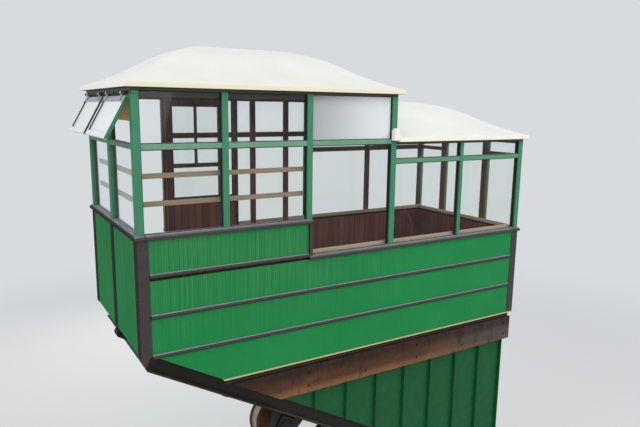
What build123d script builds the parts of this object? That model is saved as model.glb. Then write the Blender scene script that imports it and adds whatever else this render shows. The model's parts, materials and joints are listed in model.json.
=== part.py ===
"""Water-balanced cliff railway car: a stepped glazed cabin on a triangular underframe.

Frame of this file: millimetres. X runs from the uphill end to the downhill end, Y is 0 on the
centre line and negative on the near side, and Z is 0 at the lower edge of the side panels.
Pieces of the running gear are drawn level, in a frame that lies on the rails, and then tilted.
At the end the whole car moves so that its origin lies on the rails, midway between the axles.
"""

from build123d import *
from math import atan, cos, degrees, sin
import os

os.makedirs("parts", exist_ok=True)

# Body: overall sizes
LENGTH = 4890
WIDTH = 1950
UPPER_LENGTH = 2843
STEP_X = 1745

# Body: heights above the lower edge of the side panels
UPPER_BASE = 380
RUB_RAIL_PITCH = 380
UPPER_EAVE = 2794
EAVE_STEP = 508
UPPER_TOP_LIGHT = 444
LOWER_TOP_LIGHT = 154

# Body: timber sections
BOARD = 45
LINING = 25
WALL = BOARD + LINING
POST = 64
THIN_POST = 50
POST_ONE_X = 844
POST_THREE_X = 3833
END_POST = 90
DOWNHILL_POST = 86
DOWNHILL_POST_Y = 400
MID_RAIL = 50
MID_RAIL_DEPTH = 50
MID_RAIL_INSET = 5
SILL_DEPTH = 45
SILL_OVERHANG = 30
SILL_BEVEL = 20
CANT_RAIL = 25
HEADER = 60
GLASS = 6
SIGN_THICKNESS = 8
FLOOR = 60
CEILING = 20
RUB_RAIL_HEIGHT = 44
RUB_RAIL_PROJECTION = 24
EDGE_STRIP = 14
CORNER_PLATE = 100
CORNER_PLATE_THICKNESS = 6
CENTRE_STRIP = 120
STEP_STRIP = 40
STEP_STRIP_PROJECTION = 20
GUARD_RAIL_HEIGHT = 46
GUARD_RAIL_DEPTH = 30
GUARD_RAIL_ROUNDING = 24
GUARD_RAIL_ABOVE_SILL = (260, 510)
SILL_CAP_DEPTH = 28
SILL_CAP_BELOW = 10
SILL_CAP_ABOVE = 35

# Roofs
EAVE_OVERHANG = 60
END_OVERHANG = 30
FASCIA = 45
UPPER_RISE = 420
LOWER_RISE = 400

# Curve of both roofs: share of the half width from the centre, and share of the rise
ROOF_FOOT = ((1.0, 0.0), (0.8, 0.181), (0.575, 0.462))
ROOF_CROWN = ((0.575, 0.462), (0.295, 0.819), (0.0, 1.0))

# Inside of the cabin
STEP_TREAD = 280
STEP_SIDE_GAP = 300
RISER = 25
INNER_POST = 70
INNER_POST_DEPTH = 40
INNER_POST_SHARES = (0.185, 0.635)
BENCH_DEPTH = 400
BENCH_HEIGHT = 450
BENCH_SLAT = 30
BENCH_SLATS = 5
BENCH_SLAT_GAP = 14
BENCH_BOARD = 25
BENCH_SETBACK = 30
BENCH_END_GAP = 450
BENCH_MARGIN = 40
BENCH_END_BELOW_SILL = 40
BENCH_END_WIDTH = 375
BENCH_END_ROUNDING = 150

# Awning sashes at the uphill end
SASH_ANGLE = 29
SASH_STILE = 46
SASH_THICKNESS = 34
SASH_GAP = 8
HINGE_ROD_RADIUS = 8
KNUCKLE_RADIUS = 15
KNUCKLE_LENGTH = 60
KNUCKLE_LAP = 1
KNUCKLE_INSET = 130
HINGE_STRAP = 6
HINGE_STRAP_LAP = 42
HINGE_GAP = 4
HINGE_RISE = 2
HINGE_LUG = 20
HINGE_LUG_WALL = 4
VENT_BOARD = 18
VENT_BOARD_DEPTH = 227
VENT_BOARD_INSET = 42

# Sliding door on the far side
DOOR_WIDTH = 750
DOOR_THICKNESS = 36
DOOR_STILE = 90
DOOR_MUNTIN = 30
DOOR_LOCK_RAIL_ABOVE_SILL = 410
DOOR_CLEARANCE = 10
DOOR_CLOSED_GAP = 5
DOOR_OPEN_LAP = 8
DOOR_HEAD_GAP = 50
DOOR_PANEL_INSET = 6
DOOR_HANDLE_REACH = 40
DOOR_HANDLE_LENGTH = 220
DOOR_HANDLE_BAR = 18
TRACK_HEIGHT = 24
TRACK_GAP = 0.3
HANGER_WIDTH = 60
HANGER_INSET = 110

# Track and running gear
GRADE_RUN = 1.75
AXLE_MID_X = 2800
AXLE_TO_GIRDER_END = 428
GAUGE = 1143
WHEEL_RADIUS = 270
FLANGE_HEIGHT = 26
FLANGE_WIDTH = 30
TREAD_WIDTH = 84
RIM_DEPTH = 45
WEB_RECESS = 46
AXLE_RADIUS = 55
JOURNAL_RADIUS = 40
RUNNING_FIT = 0.05
AXLE_BOX = 180
AXLE_BOX_WHEEL_GAP = 20
AXLE_BOX_PROJECTION = 40
AXLE_BOX_COVER = 110
AXLE_BOX_COVER_THICKNESS = 12
JOURNAL_END_WALL = 20
JOURNAL_END_GAP = 2
PEDESTAL_CROWN = 23
PEDESTAL_LEG = 70
PEDESTAL_SPREAD = 60
PEDESTAL_KEEPER = 20
BRAKE_SHOE_LENGTH = 360
BRAKE_SHOE_WIDTH = 70
BRAKE_SHOE_DEPTH = 60
BRAKE_RAIL_GAP = 12
BRAKE_HANGER = 40

# Underframe
BODY_CUT_START = 120
SOFFIT = 20
GIRDER_DEPTH = 160
GIRDER_WIDTH = 70
GIRDER_WEB = 12
GIRDER_SETBACK = 175
SOLE_DEPTH = 310
SOLE_WIDTH = 75
SOLE_GAP = 80
FRAME_PLATE = 12
RIB_DEPTH = 40
RIB_WIDTH = 14
RIB_PITCH = 420
TANK_END_SETBACK = 690
TANK_BEARER_DEPTH = 70
TANK_SIDE_CLEARANCE = 20
BEARER_TO_OUTLET = 347
GIRDER_START_X = 150
FRAME_SETBACK = 60
CROSS_MEMBER = 80
CROSS_MEMBER_DROP = 20
AXLE_TO_CROSS_MEMBER = 700
SOLE_INSET = 10
JOIST = 80
JOISTS = 6
JOIST_SIDE_GAP = 50

# Rope anchor and tank outlet
CLEVIS_REACH = 90
CLEVIS_RADIUS = 48
CLEVIS_GAP = 44
CLEVIS_CHEEK = 24
CLEVIS_BORE = 20
CLEVIS_ROOT = 20
OUTLET_TO_TANK_END = 100
OUTLET_DROP = 220
OUTLET_RADIUS = 62
OUTLET_BORE = 50
OUTLET_BORE_DEPTH = 150
OUTLET_FLANGE = 18
OUTLET_FLANGE_RIM = 38

# How far a cutting solid runs past the face that it cuts
PAST = 1

# Worked out
HALF = WIDTH / 2
INNER = HALF - WALL
GRADE = atan(1 / GRADE_RUN)
LOWER_SILL = UPPER_BASE + 2 * RUB_RAIL_PITCH
UPPER_SILL = UPPER_BASE + 3 * RUB_RAIL_PITCH
LOWER_EAVE = UPPER_EAVE - EAVE_STEP
CANT_UPPER = UPPER_EAVE - CANT_RAIL
CANT_LOWER = LOWER_EAVE - CANT_RAIL
HEADER_UPPER = UPPER_EAVE - HEADER
HEADER_LOWER = LOWER_EAVE - HEADER
UPPER_MID_RAIL = HEADER_UPPER - UPPER_TOP_LIGHT
LOWER_MID_RAIL = HEADER_LOWER - LOWER_TOP_LIGHT
EAVE_HALF = HALF + EAVE_OVERHANG
GLASS_Y = HALF - WALL / 2
GIRDER_Y = HALF - GIRDER_SETBACK
DOOR_OUTER_Y = INNER - DOOR_CLEARANCE
DOOR_INNER_Y = DOOR_OUTER_Y - DOOR_THICKNESS
BODY_CUT_END = BODY_CUT_START + UPPER_BASE * GRADE_RUN
UPPER_FLOOR = UPPER_BASE + FLOOR
TANK_END = LENGTH - TANK_END_SETBACK
OUTLET_X = TANK_END - OUTLET_TO_TANK_END

# Heights square to the rails, from the wheels up
GIRDER_BOTTOM = WHEEL_RADIUS + AXLE_BOX / 2 + PEDESTAL_CROWN
GIRDER_TOP = GIRDER_BOTTOM + GIRDER_DEPTH
TANK_OFFSET = GIRDER_TOP + TANK_BEARER_DEPTH
CUT_OFFSET = GIRDER_TOP + SOFFIT
BASE_HEIGHT = CUT_OFFSET / cos(GRADE) - UPPER_BASE + (AXLE_MID_X - BODY_CUT_START) / GRADE_RUN

CORNER_POST = WALL
UPPER_CORNER_X = CORNER_POST / 2
END_POST_X = LENGTH - CORNER_POST / 2
UPPER_END_X = UPPER_LENGTH - CORNER_POST / 2

# Posts of each side: centre, width, and the heights of foot and head
SIDE_POSTS = (
    (UPPER_CORNER_X, CORNER_POST, UPPER_SILL, CANT_UPPER),
    (POST_ONE_X, POST, UPPER_SILL, CANT_UPPER),
    (STEP_X, POST, UPPER_SILL, CANT_UPPER),
    (UPPER_END_X, CORNER_POST, LOWER_SILL, CANT_UPPER),
    (POST_THREE_X, THIN_POST, LOWER_SILL, CANT_LOWER),
    (END_POST_X, CORNER_POST, LOWER_SILL, CANT_LOWER),
)
STEP_END = STEP_X + POST / 2
INNER_POSTS_X = [STEP_END + share * (UPPER_LENGTH - STEP_END) for share in INNER_POST_SHARES]

# Bays of each side between posts: start, end, sill, mid-rail and head heights
BAYS = (
    (CORNER_POST, POST_ONE_X - POST / 2, UPPER_SILL, UPPER_MID_RAIL, CANT_UPPER),
    (POST_ONE_X + POST / 2, STEP_X - POST / 2, UPPER_SILL, UPPER_MID_RAIL, CANT_UPPER),
    (STEP_END, UPPER_LENGTH - CORNER_POST, LOWER_SILL, UPPER_MID_RAIL, CANT_UPPER),
    (UPPER_LENGTH, POST_THREE_X - THIN_POST / 2, LOWER_SILL, LOWER_MID_RAIL, CANT_LOWER),
    (POST_THREE_X + THIN_POST / 2, LENGTH - CORNER_POST, LOWER_SILL, LOWER_MID_RAIL, CANT_LOWER),
)
DOOR_BAY = BAYS[0]
SIGN_BAY = BAYS[2]
DOORWAY = DOOR_BAY[:2]

# Bays of the two ends, beside one post uphill and between a pair of posts downhill
UPHILL_BAY = (END_POST / 2, INNER)
DOWNHILL_BAY = (DOWNHILL_POST_Y + DOWNHILL_POST / 2, INNER)
DOWNHILL_MIDDLE = DOWNHILL_POST_Y - DOWNHILL_POST / 2

# Placing
TO_INCLINE = Pos(AXLE_MID_X, 0, -BASE_HEIGHT) * Rot(0, degrees(GRADE), 0)
TO_RAILS = Pos(-AXLE_MID_X, 0, BASE_HEIGHT)
NEAR = -1
FAR = 1


def block(x0, x1, y0, y1, z0, z1):
    """A box between two corners."""
    middle = Pos((x0 + x1) / 2, (y0 + y1) / 2, (z0 + z1) / 2)
    return middle * Box(x1 - x0, abs(y1 - y0), z1 - z0)


def side_block(side, x0, x1, inner, outer, z0, z1):
    """A box on one side of the car, between two distances from the centre line."""
    return block(x0, x1, *sorted((side * inner, side * outer)), z0, z1)


def upright(points, y0, y1):
    """A prism across the car from an outline of (x, z) points."""
    outline = Plane.XZ * make_face(Polyline(*points, close=True))
    return Pos(0, y1, 0) * extrude(outline, amount=y1 - y0)


def mirrored(solids):
    """The solids and their mirror images on the other side of the centre line."""
    return [*solids, *(solid.mirror(Plane.XZ) for solid in solids)]


def rail_line(x, offset):
    """Height at x of a line at a square distance from the rails."""
    return -BASE_HEIGHT + (AXLE_MID_X - x) / GRADE_RUN + offset / cos(GRADE)


def rail_line_x(z, offset):
    """Where a line at a square distance from the rails comes to height z."""
    return AXLE_MID_X - (z + BASE_HEIGHT - offset / cos(GRADE)) * GRADE_RUN


def along_rails(x, offset):
    """Place along the rails of a point at x that lies at a square distance from them."""
    return (x - AXLE_MID_X - offset * sin(GRADE)) / cos(GRADE)


def spaced(first, last, count):
    """Evenly spaced places, with both ends."""
    return [first + i * (last - first) / (count - 1) for i in range(count)]


GIRDER_START = along_rails(GIRDER_START_X, GIRDER_TOP)
GIRDER_END = along_rails(LENGTH - FRAME_SETBACK, GIRDER_TOP)
AXLE_X = GIRDER_END - AXLE_TO_GIRDER_END
SOLE_TOP = -SOLE_GAP
SOLE_BOTTOM = SOLE_TOP - SOLE_DEPTH


# Body panels


def side_panels_upper():
    z = (LOWER_SILL, UPPER_SILL - SILL_DEPTH)
    near = side_block(NEAR, 0, STEP_END - STEP_STRIP, INNER + LINING, HALF, *z)
    far = side_block(FAR, DOORWAY[1], STEP_END - STEP_STRIP, INNER + LINING, HALF, *z)
    return [near, far]


def side_panels_middle():
    z = (UPPER_BASE, LOWER_SILL - SILL_DEPTH)
    near = side_block(NEAR, 0, LENGTH, INNER + LINING, HALF, *z)
    far = side_block(FAR, DOORWAY[1], LENGTH, INNER + LINING, HALF, *z)
    return [near, far]


def side_panels_lower():
    outline = (
        (BODY_CUT_START, UPPER_BASE),
        (BODY_CUT_END, 0),
        (LENGTH, 0),
        (LENGTH, UPPER_BASE),
    )
    return mirrored([upright(outline, -HALF, -INNER - LINING)])


def end_panels():
    outer = INNER + LINING
    uphill = block(0, BOARD, -outer, INNER, UPPER_BASE, UPPER_SILL - SILL_DEPTH)
    downhill = block(LENGTH - BOARD, LENGTH, -outer, outer, 0, LOWER_SILL - SILL_DEPTH)
    return [uphill, downhill]


def sloping_soffit():
    outline = (
        (BODY_CUT_START, UPPER_BASE),
        (BODY_CUT_END, 0),
        (BODY_CUT_END, -SOFFIT / cos(GRADE)),
        (BODY_CUT_START, UPPER_BASE - SOFFIT / cos(GRADE)),
    )
    return [upright(outline, -INNER - LINING, INNER + LINING)]


def lower_edge_strips():
    strip = side_block(NEAR, BODY_CUT_END, LENGTH, HALF - BOARD, HALF + EDGE_STRIP, -EDGE_STRIP, 0)
    return mirrored([strip])


# Corner plates: x of the end, direction inward, foot, head, leaf on the far side
CORNERS = (
    (0, 1, UPPER_BASE, UPPER_SILL - SILL_DEPTH, CORNER_POST),
    (LENGTH, -1, 0, LOWER_SILL - SILL_DEPTH, CORNER_PLATE),
)


def corner_plates_side():
    """Black upright plates on the sides: at the four corners, and at the step in the sill."""
    pieces = []
    for x, inward, z0, z1, far_leaf in CORNERS:
        for side, leaf in ((NEAR, CORNER_PLATE), (FAR, far_leaf)):
            xs = sorted((x, x + inward * leaf))
            pieces.append(side_block(side, *xs, HALF, HALF + CORNER_PLATE_THICKNESS, z0, z1))
    step_x = (STEP_END - STEP_STRIP, STEP_END)
    step_z = (LOWER_SILL, UPPER_SILL - SILL_DEPTH)
    step = side_block(NEAR, *step_x, INNER, HALF + STEP_STRIP_PROJECTION, *step_z)
    return pieces + mirrored([step])


def corner_plates_end():
    """Black upright plates on the ends: at the corners, and under the posts."""
    outer = HALF + CORNER_PLATE_THICKNESS
    strips = ((0,), (-DOWNHILL_POST_Y, DOWNHILL_POST_Y))
    pieces = []
    for (x, inward, z0, z1, _), places in zip(CORNERS, strips):
        xs = sorted((x - inward * CORNER_PLATE_THICKNESS, x))
        pieces += mirrored([side_block(NEAR, *xs, HALF - CORNER_PLATE, outer, z0, z1)])
        for y in places:
            pieces.append(block(*xs, y - CENTRE_STRIP / 2, y + CENTRE_STRIP / 2, z0, z1))
    return pieces


def rub_rails():
    """Half-round rails along both sides, one at the head of each row of boards."""
    pieces = []
    profile = Plane.YZ * make_face(
        ThreePointArc(
            (-HALF, RUB_RAIL_HEIGHT / 2),
            (-HALF - RUB_RAIL_PROJECTION, 0),
            (-HALF, -RUB_RAIL_HEIGHT / 2),
        )
        + Line((-HALF, -RUB_RAIL_HEIGHT / 2), (-HALF, RUB_RAIL_HEIGHT / 2))
    )
    for level, end in (
        (UPPER_BASE, LENGTH - CORNER_PLATE),
        (UPPER_BASE + RUB_RAIL_PITCH, LENGTH - CORNER_PLATE),
        (LOWER_SILL, STEP_END - STEP_STRIP),
    ):
        near = Pos(CORNER_PLATE, 0, level) * extrude(profile, amount=end - CORNER_PLATE)
        far = Pos(DOORWAY[1], 0, level) * extrude(profile, amount=end - DOORWAY[1])
        pieces += [near, far.mirror(Plane.XZ)]
    return pieces


def sill_profile(sill):
    outer = HALF + SILL_OVERHANG
    return Plane.YZ * make_face(
        Polyline(
            (-INNER, sill),
            (-INNER, sill - SILL_DEPTH),
            (-outer, sill - SILL_DEPTH),
            (-outer, sill - SILL_BEVEL),
            (-outer + SILL_BEVEL, sill),
            close=True,
        )
    )


def side_sills():
    pieces = []
    for sill, near_start, far_start, end in (
        (UPPER_SILL, WALL, DOORWAY[1], STEP_END),
        (LOWER_SILL, STEP_END - STEP_STRIP, STEP_END - STEP_STRIP, LENGTH - WALL),
    ):
        near = Pos(near_start, 0, 0) * extrude(sill_profile(sill), amount=end - near_start)
        far = Pos(far_start, 0, 0) * extrude(sill_profile(sill), amount=end - far_start)
        pieces += [near, far.mirror(Plane.XZ)]
    return pieces


def end_sills():
    outer = HALF + SILL_OVERHANG
    pieces = []
    for x0, x1, sill, edge_x in (
        (-SILL_OVERHANG, WALL, UPPER_SILL, -SILL_OVERHANG),
        (LENGTH - WALL, LENGTH + SILL_OVERHANG, LOWER_SILL, LENGTH + SILL_OVERHANG),
    ):
        bar = block(x0, x1, -outer, outer, sill - SILL_DEPTH, sill)
        top = bar.edges().filter_by_position(Axis.Z, sill, sill)
        outward = top.filter_by_position(Axis.X, edge_x, edge_x)
        sides = top.filter_by(Axis.X)
        pieces.append(chamfer(outward + sides, SILL_BEVEL))
    return pieces


# Window frames


def posts():
    """Posts of both sides and both ends, with the jamb below the far uphill corner post."""
    pieces = []
    for side in (NEAR, FAR):
        for centre, width, foot, head in SIDE_POSTS:
            x = (centre - width / 2, centre + width / 2)
            pieces.append(side_block(side, *x, INNER, HALF, foot, head))
    for x0, y, width, foot, head in (
        (0, 0, END_POST, UPPER_SILL, HEADER_UPPER),
        (LENGTH - WALL, -DOWNHILL_POST_Y, DOWNHILL_POST, LOWER_SILL, HEADER_LOWER),
        (LENGTH - WALL, DOWNHILL_POST_Y, DOWNHILL_POST, LOWER_SILL, HEADER_LOWER),
    ):
        pieces.append(block(x0, x0 + WALL, y - width / 2, y + width / 2, foot, head))
    jamb_z = (UPPER_BASE, UPPER_SILL - SILL_DEPTH)
    return [*pieces, side_block(FAR, 0, CORNER_POST, INNER, HALF, *jamb_z)]


def mid_rails():
    pieces = []
    outer = HALF - MID_RAIL_INSET
    depth = (outer - MID_RAIL_DEPTH, outer)
    for side in (NEAR, FAR):
        for bay in BAYS:
            if side == FAR and bay == DOOR_BAY:
                continue
            x0, x1, _, level, _ = bay
            z = (level - MID_RAIL / 2, level + MID_RAIL / 2)
            pieces.append(side_block(side, x0, x1, *depth, *z))
    downhill_x = LENGTH - MID_RAIL_INSET - MID_RAIL_DEPTH
    for x0, bay, level in (
        (MID_RAIL_INSET, UPHILL_BAY, UPPER_MID_RAIL),
        (downhill_x, DOWNHILL_BAY, LOWER_MID_RAIL),
    ):
        z = (level - MID_RAIL / 2, level + MID_RAIL / 2)
        pieces += mirrored([side_block(NEAR, x0, x0 + MID_RAIL_DEPTH, *bay, *z)])
    return pieces


def cant_rails():
    upper = side_block(NEAR, 0, UPPER_LENGTH, INNER, HALF, CANT_UPPER, UPPER_EAVE)
    lower = side_block(NEAR, UPPER_LENGTH, LENGTH, INNER, HALF, CANT_LOWER, LOWER_EAVE)
    return mirrored([upper]) + mirrored([lower])


def end_headers():
    """Beams across the car at both ends, and two where the roof steps down."""
    across = (-INNER, INNER)
    step_x = (UPPER_LENGTH - WALL, UPPER_LENGTH)
    return [
        block(0, WALL, *across, HEADER_UPPER, UPPER_EAVE),
        block(*step_x, *across, HEADER_UPPER, UPPER_EAVE),
        block(*step_x, *across, HEADER_LOWER, LOWER_EAVE),
        block(LENGTH - WALL, LENGTH, *across, HEADER_LOWER, LOWER_EAVE),
    ]


def roof_step_board():
    """The board that closes the cabin above the lower roof."""
    return [block(UPPER_LENGTH - BOARD, UPPER_LENGTH, -INNER, INNER, LOWER_EAVE, HEADER_UPPER)]


def window_glass():
    """Panes: over and under each mid-rail, and one tall pane in the downhill end's middle."""
    pieces = []
    y = (GLASS_Y - GLASS / 2, GLASS_Y + GLASS / 2)
    for side in (NEAR, FAR):
        for bay in BAYS:
            if side == FAR and bay == DOOR_BAY:
                continue
            x0, x1, sill, level, head = bay
            pieces.append(side_block(side, x0, x1, *y, sill, level - MID_RAIL / 2))
            if bay != SIGN_BAY:
                pieces.append(side_block(side, x0, x1, *y, level + MID_RAIL / 2, head))
    uphill_x = (WALL / 2 - GLASS / 2, WALL / 2 + GLASS / 2)
    uphill_z = (UPPER_SILL, UPPER_MID_RAIL - MID_RAIL / 2)
    pieces += mirrored([side_block(NEAR, *uphill_x, *UPHILL_BAY, *uphill_z)])
    downhill_x = (LENGTH - uphill_x[1], LENGTH - uphill_x[0])
    for z0, z1 in (
        (LOWER_SILL, LOWER_MID_RAIL - MID_RAIL / 2),
        (LOWER_MID_RAIL + MID_RAIL / 2, HEADER_LOWER),
    ):
        pieces += mirrored([side_block(NEAR, *downhill_x, *DOWNHILL_BAY, z0, z1)])
    pieces.append(block(*downhill_x, -DOWNHILL_MIDDLE, DOWNHILL_MIDDLE, LOWER_SILL, HEADER_LOWER))
    return pieces


def sign_boards():
    x0, x1, _, level, head = SIGN_BAY
    y = (GLASS_Y - SIGN_THICKNESS / 2, GLASS_Y + SIGN_THICKNESS / 2)
    return mirrored([side_block(NEAR, x0, x1, *y, level + MID_RAIL / 2, head)])


# Roofs


def roof_arcs(half, rise, base, centre):
    """Half outline of a roof, from the eave in: the hollow foot, then the rounded crown."""
    arcs = []
    for shares in (ROOF_FOOT, ROOF_CROWN):
        places = [(centre - span * half, base + FASCIA + share * rise) for span, share in shares]
        arcs.append(ThreePointArc(*places))
    return arcs


def roof_across(half, rise, base):
    """The roof's cross-section, in the Y and Z plane."""
    foot, crown = roof_arcs(half, rise, base, 0)
    left = Line((-half, base), foot @ 0) + foot + crown
    right = left.mirror(Plane.YZ)
    return Plane.YZ * make_face(left + right + Line((-half, base), (half, base)))


def roof_along(x0, x1, half, rise, base, hipped_start, hipped_end):
    """The roof's long section, in the X and Z plane, with each end hipped or square."""
    top = base + FASCIA + rise
    lines = [Line((x0, base), (x1, base))]
    ridge = [x0, x1]
    if hipped_start:
        foot, crown = roof_arcs(half, rise, base, x0 + half)
        lines += [Line((x0, base), foot @ 0), foot, crown]
        ridge[0] = x0 + half
    else:
        lines.append(Line((x0, base), (x0, top)))
    if hipped_end:
        foot, crown = roof_arcs(half, rise, base, -x1 + half)
        lines += [line.mirror(Plane.YZ) for line in (Line((-x1, base), foot @ 0), foot, crown)]
        ridge[1] = x1 - half
    else:
        lines.append(Line((x1, base), (x1, top)))
    lines.append(Line((ridge[0], top), (ridge[1], top)))
    return Plane.XZ * make_face(Curve() + lines)


def roof(x0, x1, rise, base, hipped_start, hipped_end):
    """A hipped roof: what the section across the car and the section along it have in common."""
    across = Pos(x0, 0, 0) * extrude(roof_across(EAVE_HALF, rise, base), amount=x1 - x0)
    section = roof_along(x0, x1, EAVE_HALF, rise, base, hipped_start, hipped_end)
    along = extrude(section, amount=EAVE_HALF, both=True)
    return across & along


def roof_upper():
    return [roof(-EAVE_OVERHANG, UPPER_LENGTH + EAVE_OVERHANG, UPPER_RISE, UPPER_EAVE, True, True)]


def roof_lower():
    return [roof(UPPER_LENGTH, LENGTH + END_OVERHANG, LOWER_RISE, LOWER_EAVE, False, True)]


def ceilings():
    upper = block(WALL, UPPER_LENGTH - WALL, -INNER, INNER, UPPER_EAVE - CEILING, UPPER_EAVE)
    lower = block(UPPER_LENGTH, LENGTH - WALL, -INNER, INNER, LOWER_EAVE - CEILING, LOWER_EAVE)
    return [upper, lower]


# Inside of the cabin


def floor_upper():
    z = (UPPER_BASE, UPPER_FLOOR)
    boards = block(WALL, STEP_X, -INNER, INNER, *z)
    threshold = side_block(FAR, *DOORWAY, INNER, HALF, *z)
    return [boards + threshold]


def floor_lower():
    return [block(BODY_CUT_END, LENGTH - WALL, -INNER, INNER, 0, FLOOR)]


def steps():
    """The riser below the upper floor's edge and the step in front of it."""
    rise = (UPPER_FLOOR - FLOOR) / 2
    half = INNER - STEP_SIDE_GAP
    riser = block(STEP_X, STEP_X + RISER, -INNER, INNER, FLOOR, UPPER_FLOOR)
    return [riser + block(STEP_X + RISER, STEP_X + STEP_TREAD, -half, half, FLOOR, FLOOR + rise)]


def dado_linings():
    """Matchboard linings below the windows."""
    y = (INNER, INNER + LINING)
    upper_z = (UPPER_BASE, UPPER_SILL - SILL_DEPTH)
    lower_z = (0, LOWER_SILL - SILL_DEPTH)
    pieces = []
    for side, start in ((NEAR, WALL), (FAR, DOORWAY[1])):
        pieces.append(side_block(side, start, STEP_END - STEP_STRIP, *y, *upper_z))
        pieces.append(side_block(side, STEP_END, LENGTH - WALL, *y, *lower_z))
    across = (-INNER, INNER)
    pieces.append(block(BOARD, WALL, *across, *upper_z))
    pieces.append(block(LENGTH - WALL, LENGTH - BOARD, *across, *lower_z))
    return pieces


def guard_rails():
    """Wooden rails across the inside of the upper windows, on the near side and uphill end."""
    pieces = []
    door_side = DOOR_INNER_Y - 2 * DOOR_CLEARANCE
    for above in GUARD_RAIL_ABOVE_SILL:
        level = UPPER_SILL + above
        z = (level - GUARD_RAIL_HEIGHT / 2, level + GUARD_RAIL_HEIGHT / 2)
        inside = INNER - GUARD_RAIL_DEPTH
        along = side_block(NEAR, WALL, STEP_END, inside, INNER, *z)
        corner = along.edges().filter_by(Axis.Z).sort_by(Axis.X)[-2:].sort_by(Axis.Y)[-1]
        pieces.append(fillet(corner, GUARD_RAIL_ROUNDING))
        across = block(WALL, WALL + GUARD_RAIL_DEPTH, -inside, door_side, *z)
        corner = across.edges().filter_by(Axis.Z).sort_by(Axis.Y)[-2:].sort_by(Axis.X)[-1]
        pieces.append(fillet(corner, GUARD_RAIL_ROUNDING))
    return pieces


def sill_caps():
    """Light wooden caps on the inner edge of the lower sills, between the inner posts."""
    z = (LOWER_SILL - SILL_CAP_BELOW, LOWER_SILL + SILL_CAP_ABOVE)
    inside = INNER - SILL_CAP_DEPTH
    end = LENGTH - WALL
    pieces = [side_block(NEAR, STEP_END, end, inside, INNER, *z)]
    starts = [STEP_END, *(x + INNER_POST / 2 for x in INNER_POSTS_X)]
    ends = [*(x - INNER_POST / 2 for x in INNER_POSTS_X), end]
    for x0, x1 in zip(starts, ends):
        pieces.append(side_block(FAR, x0, x1, inside, INNER, *z))
    pieces.append(block(end - SILL_CAP_DEPTH, end, -inside, inside, *z))
    return pieces


def inner_posts():
    """Wooden posts that stand against the far wall, before and after its sign board's middle."""
    pieces = []
    for x in INNER_POSTS_X:
        xs = (x - INNER_POST / 2, x + INNER_POST / 2)
        pieces.append(side_block(FAR, *xs, INNER - INNER_POST_DEPTH, INNER, FLOOR, UPPER_EAVE - CEILING))
    return pieces


# Benches: side, start, end and floor height
BENCHES = (
    (NEAR, WALL + 2 * BENCH_MARGIN, STEP_X - BENCH_MARGIN, UPPER_FLOOR),
    (NEAR, UPPER_LENGTH + BENCH_MARGIN, LENGTH - WALL - BENCH_END_GAP, FLOOR),
    (FAR, UPPER_LENGTH + BENCH_MARGIN, LENGTH - WALL - BENCH_END_GAP, FLOOR),
)


def bench_seats():
    """Slats of the seats, evenly spaced from the wall to the front edge."""
    width = (BENCH_DEPTH - (BENCH_SLATS - 1) * BENCH_SLAT_GAP) / BENCH_SLATS
    pieces = []
    for side, x0, x1, floor in BENCHES:
        z = (floor + BENCH_HEIGHT - BENCH_SLAT, floor + BENCH_HEIGHT)
        for inner in spaced(INNER - BENCH_DEPTH, INNER - width, BENCH_SLATS):
            pieces.append(side_block(side, x0, x1, inner, inner + width, *z))
    return pieces


def bench_frames():
    """Brackets under the slats, two at the ends and one in the middle of each bench."""
    pieces = []
    for side, x0, x1, floor in BENCHES:
        y = (INNER - BENCH_DEPTH + BENCH_SETBACK, INNER)
        z = (floor, floor + BENCH_HEIGHT - BENCH_SLAT)
        for x in spaced(x0, x1 - BENCH_BOARD, 3):
            pieces.append(side_block(side, x, x + BENCH_BOARD, *y, *z))
    return pieces


def bench_ends():
    """Boarded ends of the two lower benches, with a rounded front corner at the top."""
    pieces = []
    for side, _, x1, floor in BENCHES[1:]:
        y = (INNER - BENCH_END_WIDTH, INNER)
        board = side_block(side, x1, x1 + BENCH_BOARD, *y, floor, LOWER_SILL - BENCH_END_BELOW_SILL)
        top = board.edges().filter_by(Axis.X).sort_by(Axis.Z)[-2:]
        front = top.sort_by(Axis.Y)[-1 if side == NEAR else 0]
        pieces.append(fillet(front, BENCH_END_ROUNDING))
    return pieces


# Awning sashes


HINGE_Z = HEADER_UPPER + KNUCKLE_RADIUS + HINGE_RISE
HINGE_X = -KNUCKLE_RADIUS - HINGE_GAP
SASH_Y = (UPHILL_BAY[0] + SASH_GAP, UPHILL_BAY[1] - SASH_GAP)
SASH_TOP = HEADER_UPPER - SASH_GAP
SASH_BOTTOM = UPPER_MID_RAIL + MID_RAIL / 2 + SASH_GAP
SASH_FACE = HINGE_X + KNUCKLE_RADIUS - KNUCKLE_LAP
SASH_X = (SASH_FACE, SASH_FACE + SASH_THICKNESS)
SASH_LIGHT_Y = (SASH_Y[0] + SASH_STILE, SASH_Y[1] - SASH_STILE)
SASH_LIGHT_Z = (SASH_BOTTOM + SASH_STILE, SASH_TOP - SASH_STILE)
SASH_HINGE = Axis((HINGE_X, 0, HINGE_Z), (0, 1, 0))


def opened(solid):
    """The sash swung out from closed to the angle it stands at."""
    return solid.rotate(SASH_HINGE, SASH_ANGLE)


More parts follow.
